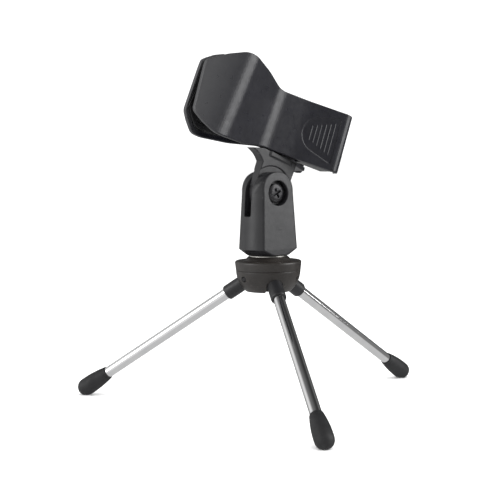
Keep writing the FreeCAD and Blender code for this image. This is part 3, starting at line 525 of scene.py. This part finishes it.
def collar_shape(x, y, z):
    around = np.hypot(y, z)
    outline = [(PIN_ON_LEG, -1), (PIN_ON_LEG, 3.3), (PIN_ON_LEG + 2, COLLAR_RADIUS),
               (COLLAR_END - 0.7, COLLAR_RADIUS), (COLLAR_END - 0.15, 3.45), (COLLAR_END, 3.0),
               (COLLAR_END, -1)]
    tube = polygon(x, around, outline)
    eye = both(rod_shape(x - PIN_ON_LEG, z, EYE_RADIUS), np.abs(y) - EYE_HALF, 0.4)
    shape = either(tube, eye, 0.6)
    shape = without(shape, rod_shape(x - PIN_ON_LEG, z, PIN_RADIUS + 0.05), 0.2)
    return without(shape, both(around - ROD_RADIUS, ROD_START - x), 0.25)


def foot_shape(x, y, z):
    around = np.hypot(y, z)
    fullest = FOOT_END - FOOT_RADIUS
    outline = [(FOOT_START, -1)]
    outline += arc((FOOT_START, 3.2), (fullest, FOOT_RADIUS), 62.0, -1)
    outline += arc((fullest, FOOT_RADIUS), (FOOT_END, 0), FOOT_RADIUS, -1)[1:] + [(FOOT_END, -1)]
    shape = polygon(x, around, outline)
    table = LEG_LINE - x * math.sin(LEG_SLOPE) + z * math.cos(LEG_SLOPE)
    shape = both(shape, -table, 0.3)
    shape = without(shape, both(around - ROD_RADIUS, x - ROD_END), 0.3)
    lip = rod_shape(x - FOOT_START - 1.5, around - 3.42, 0.16)
    return without(shape, lip, 0.12)


for number, joint in enumerate(LEGS, start=1):
    at_leg = leg_place(joint)
    pin = turned("leg_hinge_pin_%d" % number, [
        (0, -PIN_HIDDEN_END), (0.9, -PIN_HIDDEN_END), (PIN_RADIUS, -PIN_HIDDEN_END + 0.3),
        (PIN_RADIUS, PIN_SHOWN_END - 0.35), (0.95, PIN_SHOWN_END - 0.08), (0.5, PIN_SHOWN_END),
        (0, PIN_SHOWN_END),
    ], at_leg @ Matrix.Translation((PIN_ON_LEG, 0, 0)), segments=40, axis=1, edge=0.05)
    stands_for(pin, "leg_pin_%d" % number)
    collar = solid("leg_collar_%d" % number, collar_shape, (PIN_ON_LEG - EYE_RADIUS, -3.8, -3.8),
                   (COLLAR_END, 3.8, 3.8), 0.25, at_leg)
    stands_for(collar, "leg_knuckle_%d" % number)
    rod = turned("leg_tube_%d" % number, [
        (0, ROD_START), (ROD_RADIUS - 0.02, ROD_START), (ROD_RADIUS - 0.02, ROD_END), (0, ROD_END),
    ], at_leg, segments=96, axis=0, edge=0.3)
    stands_for(rod, "leg_rod_%d" % number)
    foot = solid("rubber_foot_%d" % number, foot_shape, (FOOT_START, -4.6, -4.6),
                 (FOOT_END, 4.6, 4.6), 0.3, at_leg)
    stands_for(foot, "foot_%d" % number)

# ---------------------------------------------------------------- swivel and tilt hinge

HINGE_HEIGHT = HINGE.z
EAR_TOP = HINGE_HEIGHT + 10.3
SWIVEL_FOOT, SWIVEL_WIDE = 72.65, 75.7
EAR_SHOULDER, EAR_ARC = (12.35, HINGE_HEIGHT - 3.4), 12.48
PANEL_FOOT, PANEL_TOP = 9.4, 7.7        # a flat panel's distance from the axis
PANEL_SLOPE = (PANEL_FOOT - PANEL_TOP) / (EAR_TOP + 1 - SWIVEL_WIDE)
FORK_HALF, FORK_FLOOR = 2.3, 91.6
INSERT_RADIUS, INSERT_BORE, INSERT_FOOT, INSERT_TOP, CAVITY_TOP = 8.6, 8.0, 73.2, 83.0, 84.5
SCREW_RADIUS, SCREW_TIP, SCREW_SEAT, SCREW_FACE, WASHER = 2.5, 7.8, 4.2, 7.2, 0.6
RECESS_RADIUS, PAN_RADIUS, WASHER_RADIUS = 5.9, 4.65, 5.2
NUT_HALF, NUT_SEAT = 4.0, 4.0


def nut_outline(half_flats):
    """Corners of a nut, one flat on top, from half its width across the flats."""
    reach = half_flats * 2 / math.sqrt(3)
    return [(reach * math.cos(math.radians(60 * k)), reach * math.sin(math.radians(60 * k)))
            for k in range(6)]


def swivel_shape(x, y, z):
    around = np.hypot(x, y)
    outline = [(INSERT_RADIUS, SWIVEL_FOOT), (10.0, SWIVEL_FOOT), (13.95, SWIVEL_WIDE)]
    outline += arc((12.2, HINGE_HEIGHT), (8.0, EAR_TOP), 13.0, 1)
    outline += [(-2, EAR_TOP), (-2, CAVITY_TOP), (INSERT_RADIUS, CAVITY_TOP)]
    shape = soft_polygon(around, z, outline, 0.3)
    panel = PANEL_FOOT - PANEL_SLOPE * np.maximum(z - SWIVEL_WIDE, 0)
    shape = both(shape, np.abs(y) - panel, 0.55)
    half, low = EAR_SHOULDER
    arch = [(-20, 60), (20, 60), (20, low), (half + 0.01, low)]
    arch += arc(EAR_SHOULDER, (0, EAR_TOP), EAR_ARC, 1)[1:]
    arch += arc((0, EAR_TOP), (-half, low), EAR_ARC, 1)[1:] + [(-half - 0.01, low), (-20, low)]
    shape = both(shape, polygon(x, z, arch), 0.7)
    shape = without(shape, both(np.abs(y) - FORK_HALF, FORK_FLOOR - z, 0.6), 0.35)
    up = z - HINGE_HEIGHT
    shape = without(shape, rod_shape(x, up, SCREW_RADIUS + HOLE_SLACK), 0.1)
    shape = without(shape, both(rod_shape(x, up, RECESS_RADIUS), y + SCREW_SEAT, 0.3), 0.4)
    nut_pocket = both(polygon(x, up, nut_outline(NUT_HALF + 0.12)), NUT_SEAT - y, 0.15)
    return without(shape, nut_pocket, 0.3)


SWIVEL_BOX = size_of("swivel_body")
swivel = solid("swivel_moulding", swivel_shape, SWIVEL_BOX[0], SWIVEL_BOX[1], 0.3, UPRIGHT)
stands_for(swivel, "swivel_body")

insert = turned("thread_insert_turned", [
    (INSERT_BORE, INSERT_FOOT), (INSERT_RADIUS, INSERT_FOOT), (INSERT_RADIUS, 76.0),
    (INSERT_RADIUS - 0.2, 76.2), (INSERT_RADIUS - 0.2, 77.0), (INSERT_RADIUS, 77.2),
    (INSERT_RADIUS, INSERT_TOP), (INSERT_BORE, INSERT_TOP),
], UPRIGHT, edge=0.08)
stands_for(insert, "thread_insert")


def tilt_screw_shape(x, y, z):
    around = np.hypot(x, z)
    seat = -SCREW_SEAT - WASHER
    outline = [(-1, -SCREW_FACE)]
    outline += arc((2.4, -SCREW_FACE), (PAN_RADIUS, 0.8 - SCREW_FACE), 3.6, 1, 8)
    outline += [(PAN_RADIUS, seat), (SCREW_RADIUS, seat), (SCREW_RADIUS, SCREW_TIP),
                (-1, SCREW_TIP)]
    shape = soft_polygon(around, y, outline, 0.12)
    turn = math.radians(25)             # the cross stands askew, as the screw was left
    u = x * math.cos(turn) + z * math.sin(turn)
    v = z * math.cos(turn) - x * math.sin(turn)
    return without(shape, cross_cut(u, v, y + SCREW_FACE), 0.14)


tilt_screw = solid("tilt_screw_pan_head", tilt_screw_shape, (-4.7, -SCREW_FACE, -4.7),
                   (4.7, SCREW_TIP, 4.7), 0.2, AT_HINGE)
stands_for(tilt_screw, "hinge_screw")
washer = turned("tilt_washer", [
    (SCREW_RADIUS, -SCREW_SEAT - WASHER), (WASHER_RADIUS, -SCREW_SEAT - WASHER),
    (WASHER_RADIUS, -SCREW_SEAT), (SCREW_RADIUS, -SCREW_SEAT),
], AT_HINGE, axis=1, edge=0.12)
stands_for(washer, "hinge_washer")


def tilt_nut_shape(x, y, z):
    around = np.hypot(x, z)
    cone = (around - 4.35 + np.abs(y - (NUT_SEAT + SCREW_TIP) / 2) * 0.9 - 1.3) * 0.74
    shape = both(polygon(x, z, nut_outline(NUT_HALF)), slab(y, NUT_SEAT, SCREW_TIP), 0.12)
    shape = both(shape, cone, 0.15)
    return without(shape, around - SCREW_RADIUS, 0.25)


tilt_nut = solid("tilt_nut", tilt_nut_shape, (-4.7, NUT_SEAT, -4.2), (4.7, SCREW_TIP, 4.2), 0.2,
                 AT_HINGE)
stands_for(tilt_nut, "hinge_nut")

# ---------------------------------------------------------------- stem, pivot and spring

STEM_TOP = 18.9
STEM_HALF, STEM_HALF_TOP, STEM_ARC = 9.9, 10.9, 12.75
TONGUE_RADIUS, TONGUE_HALF, BLADE_HALF = 9.7, 2.2, 2.65
SADDLE_REACH, SADDLE_HALF, SADDLE_FOOT = 7.2, 3.2, 16.7
GUSSET, GUSSET_FOOT = (-18.0, 16.6), 12.6
AXLE_RADIUS, AXLE_FOOT, AXLE_TOP = 1.5, -20.4, 14.3


def stem_shape(x, y, z):
    tongue = rod_shape(x, z, TONGUE_RADIUS)
    tongue = np.minimum(tongue, both(np.abs(x) - STEM_HALF, slab(z, 0.0, STEM_TOP - 4)))
    tongue = both(tongue, np.abs(y) - TONGUE_HALF, 0.3)
    shoulder = math.sqrt(STEM_ARC ** 2 - STEM_HALF ** 2)
    outline = arc((-STEM_HALF, shoulder), (STEM_HALF, shoulder), STEM_ARC, -1, 16)
    outline += [(STEM_HALF_TOP, STEM_TOP), (-STEM_HALF_TOP, STEM_TOP), GUSSET]
    outline += arc(GUSSET, (-STEM_HALF, GUSSET_FOOT), 14.0, -1, 8)[1:]
    blade = both(polygon(x, z, outline), np.abs(y) - BLADE_HALF, 0.55)
    saddle = both(np.abs(x) - SADDLE_REACH, np.abs(y) - SADDLE_HALF, 1.3)
    saddle = both(saddle, slab(z, SADDLE_FOOT, STEM_TOP), 0.35)
    shape = either(either(tongue, blade), saddle, 0.8)
    shape = both(shape, z - STEM_TOP, 0.3)
    shape = without(shape, rod_shape(x, z, SCREW_RADIUS + HOLE_SLACK), 0.15)
    axle_hole = rod_shape(x - PIVOT_REACH, y, AXLE_RADIUS + 0.02)
    return without(shape, both(axle_hole, CLIP_MIDDLE + AXLE_FOOT - 0.1 - z), 0.1)


stem = solid("stem_moulding", stem_shape, (GUSSET[0], -4.3, -9.9), (STEM_HALF_TOP, 4.3, STEM_TOP),
             0.27, AT_CLIP)
stands_for(stem, "clip_stem")

pivot = turned("pivot_axle", [
    (0, AXLE_FOOT), (1.2, AXLE_FOOT), (AXLE_RADIUS, AXLE_FOOT + 0.3), (AXLE_RADIUS, AXLE_TOP - 0.4),
    (1.2, AXLE_TOP), (0, AXLE_TOP),
], AT_PIVOT, segments=48, edge=0.1)
stands_for(pivot, "clip_pivot_pin")
cap = turned("pivot_push_cap", [
    (AXLE_RADIUS, 13.3), (3.3, 13.3), (3.3, 13.75), (3.1, 14.1), (2.6, AXLE_TOP - 0.02),
    (AXLE_RADIUS, AXLE_TOP),
], AT_PIVOT, segments=64, edge=0.08)
stands_for(cap, "pivot_cap")

WIRE_RADIUS, COIL_RADIUS, COIL_PITCH, COIL_FOOT = 0.55, 2.4, 1.5, -4.6
LEG_REACH, LEG_GAP = 11.5, 9.1
swing = math.acos(COIL_RADIUS / math.hypot(LEG_REACH, LEG_GAP)) - math.atan2(LEG_GAP, LEG_REACH)
coil_turns = 6 - swing / math.pi
coil_rise = coil_turns * COIL_PITCH


def coil_point(angle, height):
    return (COIL_RADIUS * math.cos(angle), COIL_RADIUS * math.sin(angle), height)


steps = int(coil_turns * 40)
coil = wire("spring_coil", [
    coil_point(swing + 2 * math.pi * coil_turns * k / steps, COIL_FOOT + coil_rise * k / steps)
    for k in range(steps + 1)
], WIRE_RADIUS, AT_PIVOT)
stands_for(coil, "clip_spring")
for side, body, level in ((-1, "front_jaw_half", COIL_FOOT),
                          (1, "rear_jaw_half", COIL_FOOT + coil_rise)):
    start = Vector(coil_point(-swing * side, level))
    end = Vector((LEG_REACH, LEG_GAP * side, level))
    leg = wire("spring_leg_%s" % body.split("_")[0], [start, start.lerp(end, 0.5), end],
               WIRE_RADIUS, AT_PIVOT)
    stands_for(leg, "clip_spring", body)


# ---------------------------------------------------------------- jaws and grip pads

AT_JAWS = AT_CLIP @ Matrix.Translation((0, 0, CLIP_MIDDLE))
WALL, CREST_HALF, HANDLE_HALF, FULLEST_GAP = 2.0, 21.0, 14.76, 17.0
TIP, TIP_END, CREST, VALLEY = -59.3, -57.4, -40.5, -11.0
LIP_EDGE, LIP, KNEE = (28.1, 12.5), (25.9, 16.9), (3.9, 6.6)
OUTER = [LIP_EDGE, LIP, KNEE, (VALLEY, 1.6), (CREST, 11.3), (TIP, 2.65)]
OUTER_ROUND = [4, 45, 12, 12]
FAN = 0.0019            # spread of the jaws' upright lines, per mm along the clip and mm of height
FLARE = math.atan2(LIP[1] - KNEE[1], LIP[0] - KNEE[0])
EYES = {-1: [(-14.5, -10.3), (4.9, 8.9)], 1: [(-10.1, -5.9), (9.1, 13.1)]}
SIDE_LINE = [(LIP_EDGE[0], HANDLE_HALF), (VALLEY, HANDLE_HALF), (-25.0, 18.76), (-37.5, 20.8),
             (-43.5, CREST_HALF), (-50.5, 17.3), (-56.7, 12.8), (TIP, 10.4)]
SIDE_ROUND = [18, 30, 14, 9, 16, 10]
FLANGE_START, FLANGE_END = (9.0, 1.8), (23.6, 5.9)      # inner edge of a handle's side flange
JAW_EYE_RADIUS, WEB_HALF = 3.8, 2.9
RECESS_END, RECESS_SHOULDER, RECESS_START = (18.8, 11.8), (6.0, 8.0), (1.0, 0)
RECESS_ROUND, RECESS_DEPTH = 9.2, 0.5
RIBS, RIB_PITCH, FIRST_RIB, RIB_RADIUS = 6, 2.2, 5.2, 0.4


def side_outline(inset):
    """Closed outline of a jaw in side view, its upper and lower halves alike."""
    line = [(x, z - inset) for x, z in SIDE_LINE]
    line[-2] = (line[-2][0] + inset / 2, line[-2][1])
    line[-1] = (TIP + inset / 2, line[-1][1])
    upper = rounded(line, SIDE_ROUND, 5)
    return upper + [(x, -z) for x, z in reversed(upper)]


def jaw_plan():
    """Closed outline of a jaw in plan, y being its distance from the clip's middle plane."""
    inner = behind(OUTER, WALL)
    inner[-1] = on_line(inner[-2], inner[-1], TIP)
    line = rounded(OUTER, OUTER_ROUND)
    back = rounded(inner, [OUTER_ROUND[0] - WALL, OUTER_ROUND[1] - WALL, OUTER_ROUND[2] + WALL,
                           OUTER_ROUND[3] - WALL])
    return line + back[::-1]


def unfanned(x, z):
    """The place along the clip, before the upright lines are spread, of a point in the jaw."""
    spread_by = FAN * z
    return (x - LIP[0] * spread_by) / (1 - spread_by)


def recess_outline():
    """The thumb recess on a handle's outside, its round end towards the bend."""
    shoulder_x, shoulder_z = RECESS_SHOULDER
    end_x, end_z = RECESS_END
    upper = arc((shoulder_x, shoulder_z), RECESS_START, RECESS_ROUND, 1)
    lower = arc(RECESS_START, (shoulder_x, -shoulder_z), RECESS_ROUND, 1)
    return [(end_x, -end_z), (end_x, end_z)] + upper + lower[1:]


JAW_PLAN = jaw_plan()
JAW_SIDE = side_outline(0)
RECESS = recess_outline()


def jaw_shape(side):
    """The shape of one jaw with its handle. side is -1 for the front jaw, +1 for the rear."""
    def shape_of(x, y, z):
        gap = y * side
        level = unfanned(x, z)
        side_view = both(soft_polygon(level, z, JAW_SIDE, 2.4), TIP_END - x, 1.2)
        shape = both(soft_polygon(level, gap, JAW_PLAN, 0.3), side_view, 0.42)
        lip = behind([LIP, KNEE], WALL * 0.6)
        flange = [FLANGE_START, FLANGE_END, on_line(lip[1], lip[0], FLANGE_END[0]),
                  on_line(lip[1], lip[0], FLANGE_START[0])]
        level_range = slab(np.abs(z), HANDLE_HALF - WALL, HANDLE_HALF)
        shape = either(shape, both(soft_polygon(x, gap, flange, 0.5), level_range, 0.4), 0.5)
        web = [(PIVOT_REACH - WEB_HALF, 0), (PIVOT_REACH + WEB_HALF, 0),
               (PIVOT_REACH + WEB_HALF, KNEE[1] + 0.6), (PIVOT_REACH - WEB_HALF, KNEE[1] - 1.4)]
        eye = rod_shape(x - PIVOT_REACH, y, JAW_EYE_RADIUS)
        eye = either(polygon(x, gap, web), eye, 0.5)
        for low, high in EYES[side]:
            shape = either(shape, both(eye, slab(z, low, high), 0.3), 0.45)
        shape = without(shape, rod_shape(x - PIVOT_REACH, y, AXLE_RADIUS + HOLE_SLACK), 0.15)
        run = (x - KNEE[0]) * math.cos(FLARE) + (gap - KNEE[1]) * math.sin(FLARE)
        rise = (gap - KNEE[1]) * math.cos(FLARE) - (x - KNEE[0]) * math.sin(FLARE)
        cut = both(soft_polygon(run, z, RECESS, 1.0), -rise - RECESS_DEPTH, 0.25)
        shape = without(shape, cut, 0.3)
        ribs = rise * 0 + 9.0
        for k in range(RIBS):
            past_end = np.maximum(np.abs(z) - 3.4 - 0.85 * k, 0)
            rib = np.hypot(run - FIRST_RIB - RIB_PITCH * k, past_end)
            ribs = np.minimum(ribs, np.hypot(rib, rise + 0.77) - RIB_RADIUS)
        return either(shape, ribs, 0.12)
    return shape_of


PAD_START, PAD_END, SEAT, SEAT_RADIUS, SEAT_HALF = -17.5, -55.0, -40.3, 7.2, 4.8
PAD_SLACK, PAD_THICKNESS, PAD_INSET = 0.03, 1.0, 2.4
GROOVE_PITCH, GROOVE_HALF, GROOVE_DEPTH = 3.0, 0.22, 0.3
back_line = behind(OUTER, WALL + PAD_SLACK)
face_line = behind(OUTER, WALL + PAD_THICKNESS)
SEAT_EDGE = math.sqrt(SEAT_RADIUS ** 2 - SEAT_HALF ** 2)
PAD_PLAN = rounded([on_line(back_line[3], back_line[4], PAD_START), back_line[4],
                    on_line(back_line[4], back_line[5], PAD_END)], [OUTER_ROUND[3] - WALL])
PAD_PLAN += [on_line(face_line[4], face_line[5], PAD_END),
             on_line(face_line[4], face_line[5], SEAT - SEAT_HALF - 1.5)]
PAD_PLAN += arc((SEAT - SEAT_HALF, SEAT_EDGE), (SEAT + SEAT_HALF, SEAT_EDGE), SEAT_RADIUS, -1)
PAD_PLAN += [on_line(face_line[3], face_line[4], SEAT + SEAT_HALF + 1.5),
             on_line(face_line[3], face_line[4], PAD_START)]
PAD_SIDE = side_outline(PAD_INSET)


def pad_shape(side):
    """The shape of a jaw's grip pad, grooved where it holds the microphone."""
    def shape_of(x, y, z):
        level = unfanned(x, z)
        plan = soft_polygon(level, y * side, PAD_PLAN, 0.12)
        shape = both(plan, polygon(level, z, PAD_SIDE), 0.3)
        from_groove = np.abs((z + GROOVE_PITCH / 2) % GROOVE_PITCH - GROOVE_PITCH / 2)
        groove = from_groove - GROOVE_HALF
        seat = both(rod_shape(level - SEAT, y, SEAT_RADIUS + GROOVE_DEPTH), groove)
        return without(shape, seat, 0.1)
    return shape_of


for side, name in ((-1, "front"), (1, "rear")):
    beyond = sorted((-JAW_EYE_RADIUS * side, FULLEST_GAP * side))
    low = (TIP_END, beyond[0], -CREST_HALF)
    high = (LIP_EDGE[0] + 0.2, beyond[1], CREST_HALF)
    jaw = solid(name + "_jaw_moulding", jaw_shape(side), low, high, 0.4, AT_JAWS)
    stands_for(jaw, name + "_jaw")
    low = (PAD_END - 2.9, min(0, side * 12), -18.7)
    high = (PAD_START + 1.7, max(0, side * 12), 18.7)
    pad = solid(name + "_grip_pad", pad_shape(side), low, high, 0.35, AT_JAWS)
    stands_for(pad, name + "_jaw_pad")

# ---------------------------------------------------------------- materials

def node(tree, kind, inputs=None, **settings):
    """A shader node with its settings, and its inputs set or linked."""
    made = tree.nodes.new("ShaderNode" + kind)
    for key, value in settings.items():
        setattr(made, key, value)
    for key, value in (inputs or {}).items():
        if isinstance(value, bpy.types.NodeSocket):
            tree.links.new(value, made.inputs[key])
        else:
            made.inputs[key].default_value = value
    return made


def spread(tree, value, low, high, start=0.0, end=1.0):
    """Map a value from low..high to start..end."""
    made = node(tree, "MapRange", {"Value": value, "From Min": low, "From Max": high,
                                   "To Min": start, "To Max": end})
    return made.outputs["Result"]


def finish_material(name, color, second, roughness, grain, depth, metallic=0.0, specular=0.5,
                    wear_and_edge_sheen=None, lines=None, tip=None):
    """A procedural surface.

    color and second mix in soft patches, roughness is (smooth, rough), grain is the size of
    the fine texture in millimetres, depth its height, wear the lighter colour of rounded edges,
    partly worn edges and partly a painted highlight, lines the pitch of fine level lines and
    tip the lighter colour of the jaws' tips, partly their grain and partly painted light.
    """
    made = bpy.data.materials.new(name)
    made.use_nodes = True
    tree = made.node_tree
    shader = tree.nodes["Principled BSDF"]
    place_of = node(tree, "TexCoord").outputs["Object"]
    patches = node(tree, "TexNoise", {"Vector": place_of, "Scale": 130.0, "Detail": 3.0})
    fine = node(tree, "TexNoise", {"Vector": place_of, "Scale": 1.0 / (grain * MM), "Detail": 4.0,
                                   "Roughness": 0.6})
    share = spread(tree, patches.outputs["Fac"], 0.35, 0.65)
    tint = node(tree, "Mix", {0: share, 6: (*color, 1), 7: (*second, 1)}, data_type="RGBA")
    tint = tint.outputs[2]
    # Rounded edges, found by pointiness, take a lighter colour: partly worn edges and partly a
    # painted highlight standing in for light caught on the rounded edges.
    if wear_and_edge_sheen is not None:
        corner = node(tree, "NewGeometry").outputs["Pointiness"]
        speckle = spread(tree, fine.outputs["Fac"], 0.3, 0.7, 0.25, 1.0)
        edge = spread(tree, corner, 0.54, 0.66)
        rubbed_edge_and_sheen = node(tree, "Math", {0: edge, 1: speckle}, operation="MULTIPLY").outputs[0]
        tint = node(tree, "Mix", {0: rubbed_edge_and_sheen, 6: tint, 7: (*wear_and_edge_sheen, 1)}, data_type="RGBA").outputs[2]
    # The jaws' tips take a lighter colour, ramping up towards their ends: partly their grained
    # finish and partly painted light, as light from the left falls on the left-facing tips.
    if tip is not None:
        line = CLIP_ALONG - CLIP_UP * FAN * (LIP[0] - CREST)
        start = (HINGE + CLIP_UP * CLIP_MIDDLE).dot(line) * MM
        along = node(tree, "VectorMath", {0: place_of, 1: line}, operation="DOT_PRODUCT")
        end = spread(tree, along.outputs["Value"], start + (CREST - 1) * MM,
                     start + (TIP + 4) * MM, 0.25, 1.0)
        begun = spread(tree, along.outputs["Value"], start + (CREST + 1.5) * MM,
                       start + (CREST - 2) * MM)
        end = node(tree, "Math", {0: end, 1: begun}, operation="MULTIPLY").outputs[0]
        tint = node(tree, "Mix", {0: end, 6: tint, 7: (*tip, 1)}, data_type="RGBA").outputs[2]
    tree.links.new(tint, shader.inputs["Base Color"])
    gloss = node(tree, "TexNoise", {"Vector": place_of, "Scale": 420.0, "Detail": 5.0})
    rough = spread(tree, gloss.outputs["Fac"], 0.3, 0.7, roughness[0], roughness[1])
    tree.links.new(rough, shader.inputs["Roughness"])
    height = fine.outputs["Fac"]
    if lines:
        wave = node(tree, "TexWave", {"Vector": place_of, "Scale": 1.0 / (lines * MM) / 6.5,
                                      "Distortion": 0.4, "Detail": 2.0},
                    wave_type="BANDS", bands_direction="Z")
        height = node(tree, "Math", {0: height, 1: wave.outputs["Fac"]}, operation="ADD").outputs[0]
    bump = node(tree, "Bump", {"Height": height, "Distance": depth * MM, "Strength": 1.0})
    tree.links.new(bump.outputs["Normal"], shader.inputs["Normal"])
    shader.inputs["Metallic"].default_value = metallic
    shader.inputs["Specular IOR Level"].default_value = specular
    return made


# The edge colours below are lighter than their surfaces: partly worn edges and partly a painted
# highlight on rounded edges. The clip's lighter colour for its tips is partly grain and partly
# painted light.
FINISHES = {
    "clip_plastic": finish_material(
        "satin_clip_black", (0.0055, 0.0055, 0.0085), (0.0075, 0.0075, 0.011), (0.27, 0.36),
        0.22, 0.005, wear_and_edge_sheen=(0.035, 0.035, 0.04), tip=(0.036, 0.036, 0.038)),
    "satin_black_plastic": finish_material(
        "textured_black", (0.008, 0.008, 0.0095), (0.011, 0.011, 0.0125), (0.36, 0.46),
        0.16, 0.014, wear_and_edge_sheen=(0.05, 0.05, 0.05)),
    "hub_plastic": finish_material(
        "brown_black_hub", (0.013, 0.011, 0.010), (0.019, 0.016, 0.014), (0.34, 0.44),
        0.2, 0.010, wear_and_edge_sheen=(0.06, 0.052, 0.045), lines=0.55),
    "rubber": finish_material(
        "black_rubber", (0.008, 0.008, 0.009), (0.013, 0.013, 0.014), (0.52, 0.68),
        0.12, 0.012, specular=0.4, wear_and_edge_sheen=(0.03, 0.03, 0.03)),
    "chrome_rod": finish_material(
        "bright_chrome", (0.84, 0.84, 0.85), (0.90, 0.90, 0.90), (0.03, 0.09),
        0.5, 0.0008, metallic=1.0),
    "nickel": finish_material(
        "nickel_plate", (0.46, 0.45, 0.42), (0.54, 0.53, 0.50), (0.16, 0.26),
        0.3, 0.002, metallic=1.0),
    "black_steel": finish_material(
        "black_zinc", (0.016, 0.016, 0.018), (0.024, 0.023, 0.024), (0.24, 0.36),
        0.15, 0.005, metallic=0.4, wear_and_edge_sheen=(0.12, 0.12, 0.12)),
    "steel": finish_material(
        "zinc_steel", (0.52, 0.52, 0.53), (0.62, 0.62, 0.62), (0.2, 0.34),
        0.25, 0.003, metallic=1.0),
    "brass": finish_material(
        "turned_brass", (0.60, 0.42, 0.16), (0.72, 0.52, 0.22), (0.22, 0.34),
        0.25, 0.003, metallic=1.0),
}
for piece in bpy.data.objects:
    name = piece.get("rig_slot")
    if name:
        piece.data.materials.clear()
        piece.data.materials.append(FINISHES[name])

# ---------------------------------------------------------------- floor, light and camera

AZIMUTH = math.radians(-40)


def to_world(vector):
    """From the camera's own heading, X right and Y away, to the frame."""
    return Matrix.Rotation(AZIMUTH, 4, "Z") @ Vector(vector)


FLOOR_HALF = 6.0
floor_mesh = bpy.data.meshes.new("floor")
floor_mesh.from_pydata([(-FLOOR_HALF, -FLOOR_HALF, 0), (FLOOR_HALF, -FLOOR_HALF, 0),
                        (FLOOR_HALF, FLOOR_HALF, 0), (-FLOOR_HALF, FLOOR_HALF, 0)],
                       [], [(0, 1, 2, 3)])
floor = bpy.data.objects.new("floor", floor_mesh)
bpy.context.scene.collection.objects.link(floor)
pale = finish_material("pale_floor", (0.93, 0.93, 0.93), (0.95, 0.95, 0.95), (0.5, 0.6), 1.0,
                       0.001, specular=0.1)
floor_mesh.materials.append(pale)
floor.visible_glossy = False

world = bpy.data.worlds.new("studio")
bpy.context.scene.world = world
world.use_nodes = True
tree = world.node_tree
sky = tree.nodes["Background"]
direction = node(tree, "TexCoord").outputs["Generated"]
level = node(tree, "SeparateXYZ", {"Vector": direction}).outputs["Z"]
to_right = node(tree, "VectorMath", {0: direction, 1: to_world((1, 0, 0))}, operation="DOT_PRODUCT")
away = node(tree, "VectorMath", {0: direction, 1: to_world((0, 1, 0))}, operation="DOT_PRODUCT")


def product(first, second):
    """Two levels of the studio's light, multiplied."""
    return node(tree, "Math", {0: first, 1: second}, operation="MULTIPLY").outputs[0]


# Reflections meet a bright left side, a dim right side, a dark backdrop, a dark ceiling and a
# grey table. All else is white.
walls = spread(tree, to_right.outputs["Value"], -0.5, 0.2, 0.80, 0.20)
backdrop = spread(tree, away.outputs["Value"], 0.5, 0.95, 1.0, 0.22)
ceiling = spread(tree, level, 0.45, 0.8, 1.0, 0.2)
table = spread(tree, level, -0.45, -0.25, 1.0, 0.0)
room = product(product(walls, backdrop), ceiling)
room = node(tree, "Mix", {0: table, 2: room, 3: 0.58}, data_type="FLOAT").outputs[0]
mirrored = node(tree, "LightPath").outputs["Is Glossy Ray"]
strength = node(tree, "Mix", {0: mirrored, 2: 1.3, 3: room}, data_type="FLOAT").outputs[0]
tree.links.new(strength, sky.inputs["Strength"])
sky.inputs["Color"].default_value = (1, 1, 1, 1)


def soft_light(name, place_of, target, size, power, glossy=True):
    """A rectangular soft box, placed and aimed from the camera's own heading."""
    lamp = bpy.data.lights.new(name, "AREA")
    lamp.shape = "RECTANGLE"
    lamp.size, lamp.size_y = size
    lamp.energy = power
    holder = bpy.data.objects.new(name, lamp)
    bpy.context.scene.collection.objects.link(holder)
    holder.location = to_world(place_of)
    aim = to_world(target) - holder.location
    holder.rotation_euler = aim.to_track_quat("-Z", "Y").to_euler()
    holder.visible_glossy = glossy
    holder.visible_camera = False
    return holder


MIDDLE = (0, 0, 0.09)
soft_light("overhead", (0, 0, 1.2), MIDDLE, (1.6, 1.6), 8, glossy=False)
soft_light("left_box", (-0.9, -0.35, 0.45), MIDDLE, (0.5, 0.9), 4)
soft_light("right_box", (0.985, -0.174, 0.6), (0, 0, 0.6), (0.72, 1.1), 11)

CAMERA_PLACE = (-0.4055, -0.4833, 0.1292)
YAW, PITCH, ROLL = (math.radians(angle) for angle in (-0.79, 4.91, -0.71))
forward = Vector((math.sin(YAW) * math.cos(PITCH), math.cos(YAW) * math.cos(PITCH),
                  -math.sin(PITCH)))
right = Vector((math.cos(YAW), -math.sin(YAW), 0))
up = right.cross(forward)
rolled_right = right * math.cos(ROLL) + up * math.sin(ROLL)
rolled_up = up * math.cos(ROLL) - right * math.sin(ROLL)
axes = Matrix([to_world(axis) for axis in (rolled_right, rolled_up, -forward)]).transposed()
camera_data = bpy.data.cameras.new("photo_angle")
camera_data.lens = 94.77
camera_data.sensor_width = 36.0
camera_data.clip_start = 0.01
camera = bpy.data.objects.new("photo_angle", camera_data)
camera.matrix_world = Matrix.Translation(CAMERA_PLACE) @ axes.to_4x4()
bpy.context.scene.collection.objects.link(camera)
bpy.context.scene.camera = camera
bpy.context.scene.view_settings.view_transform = "Standard"
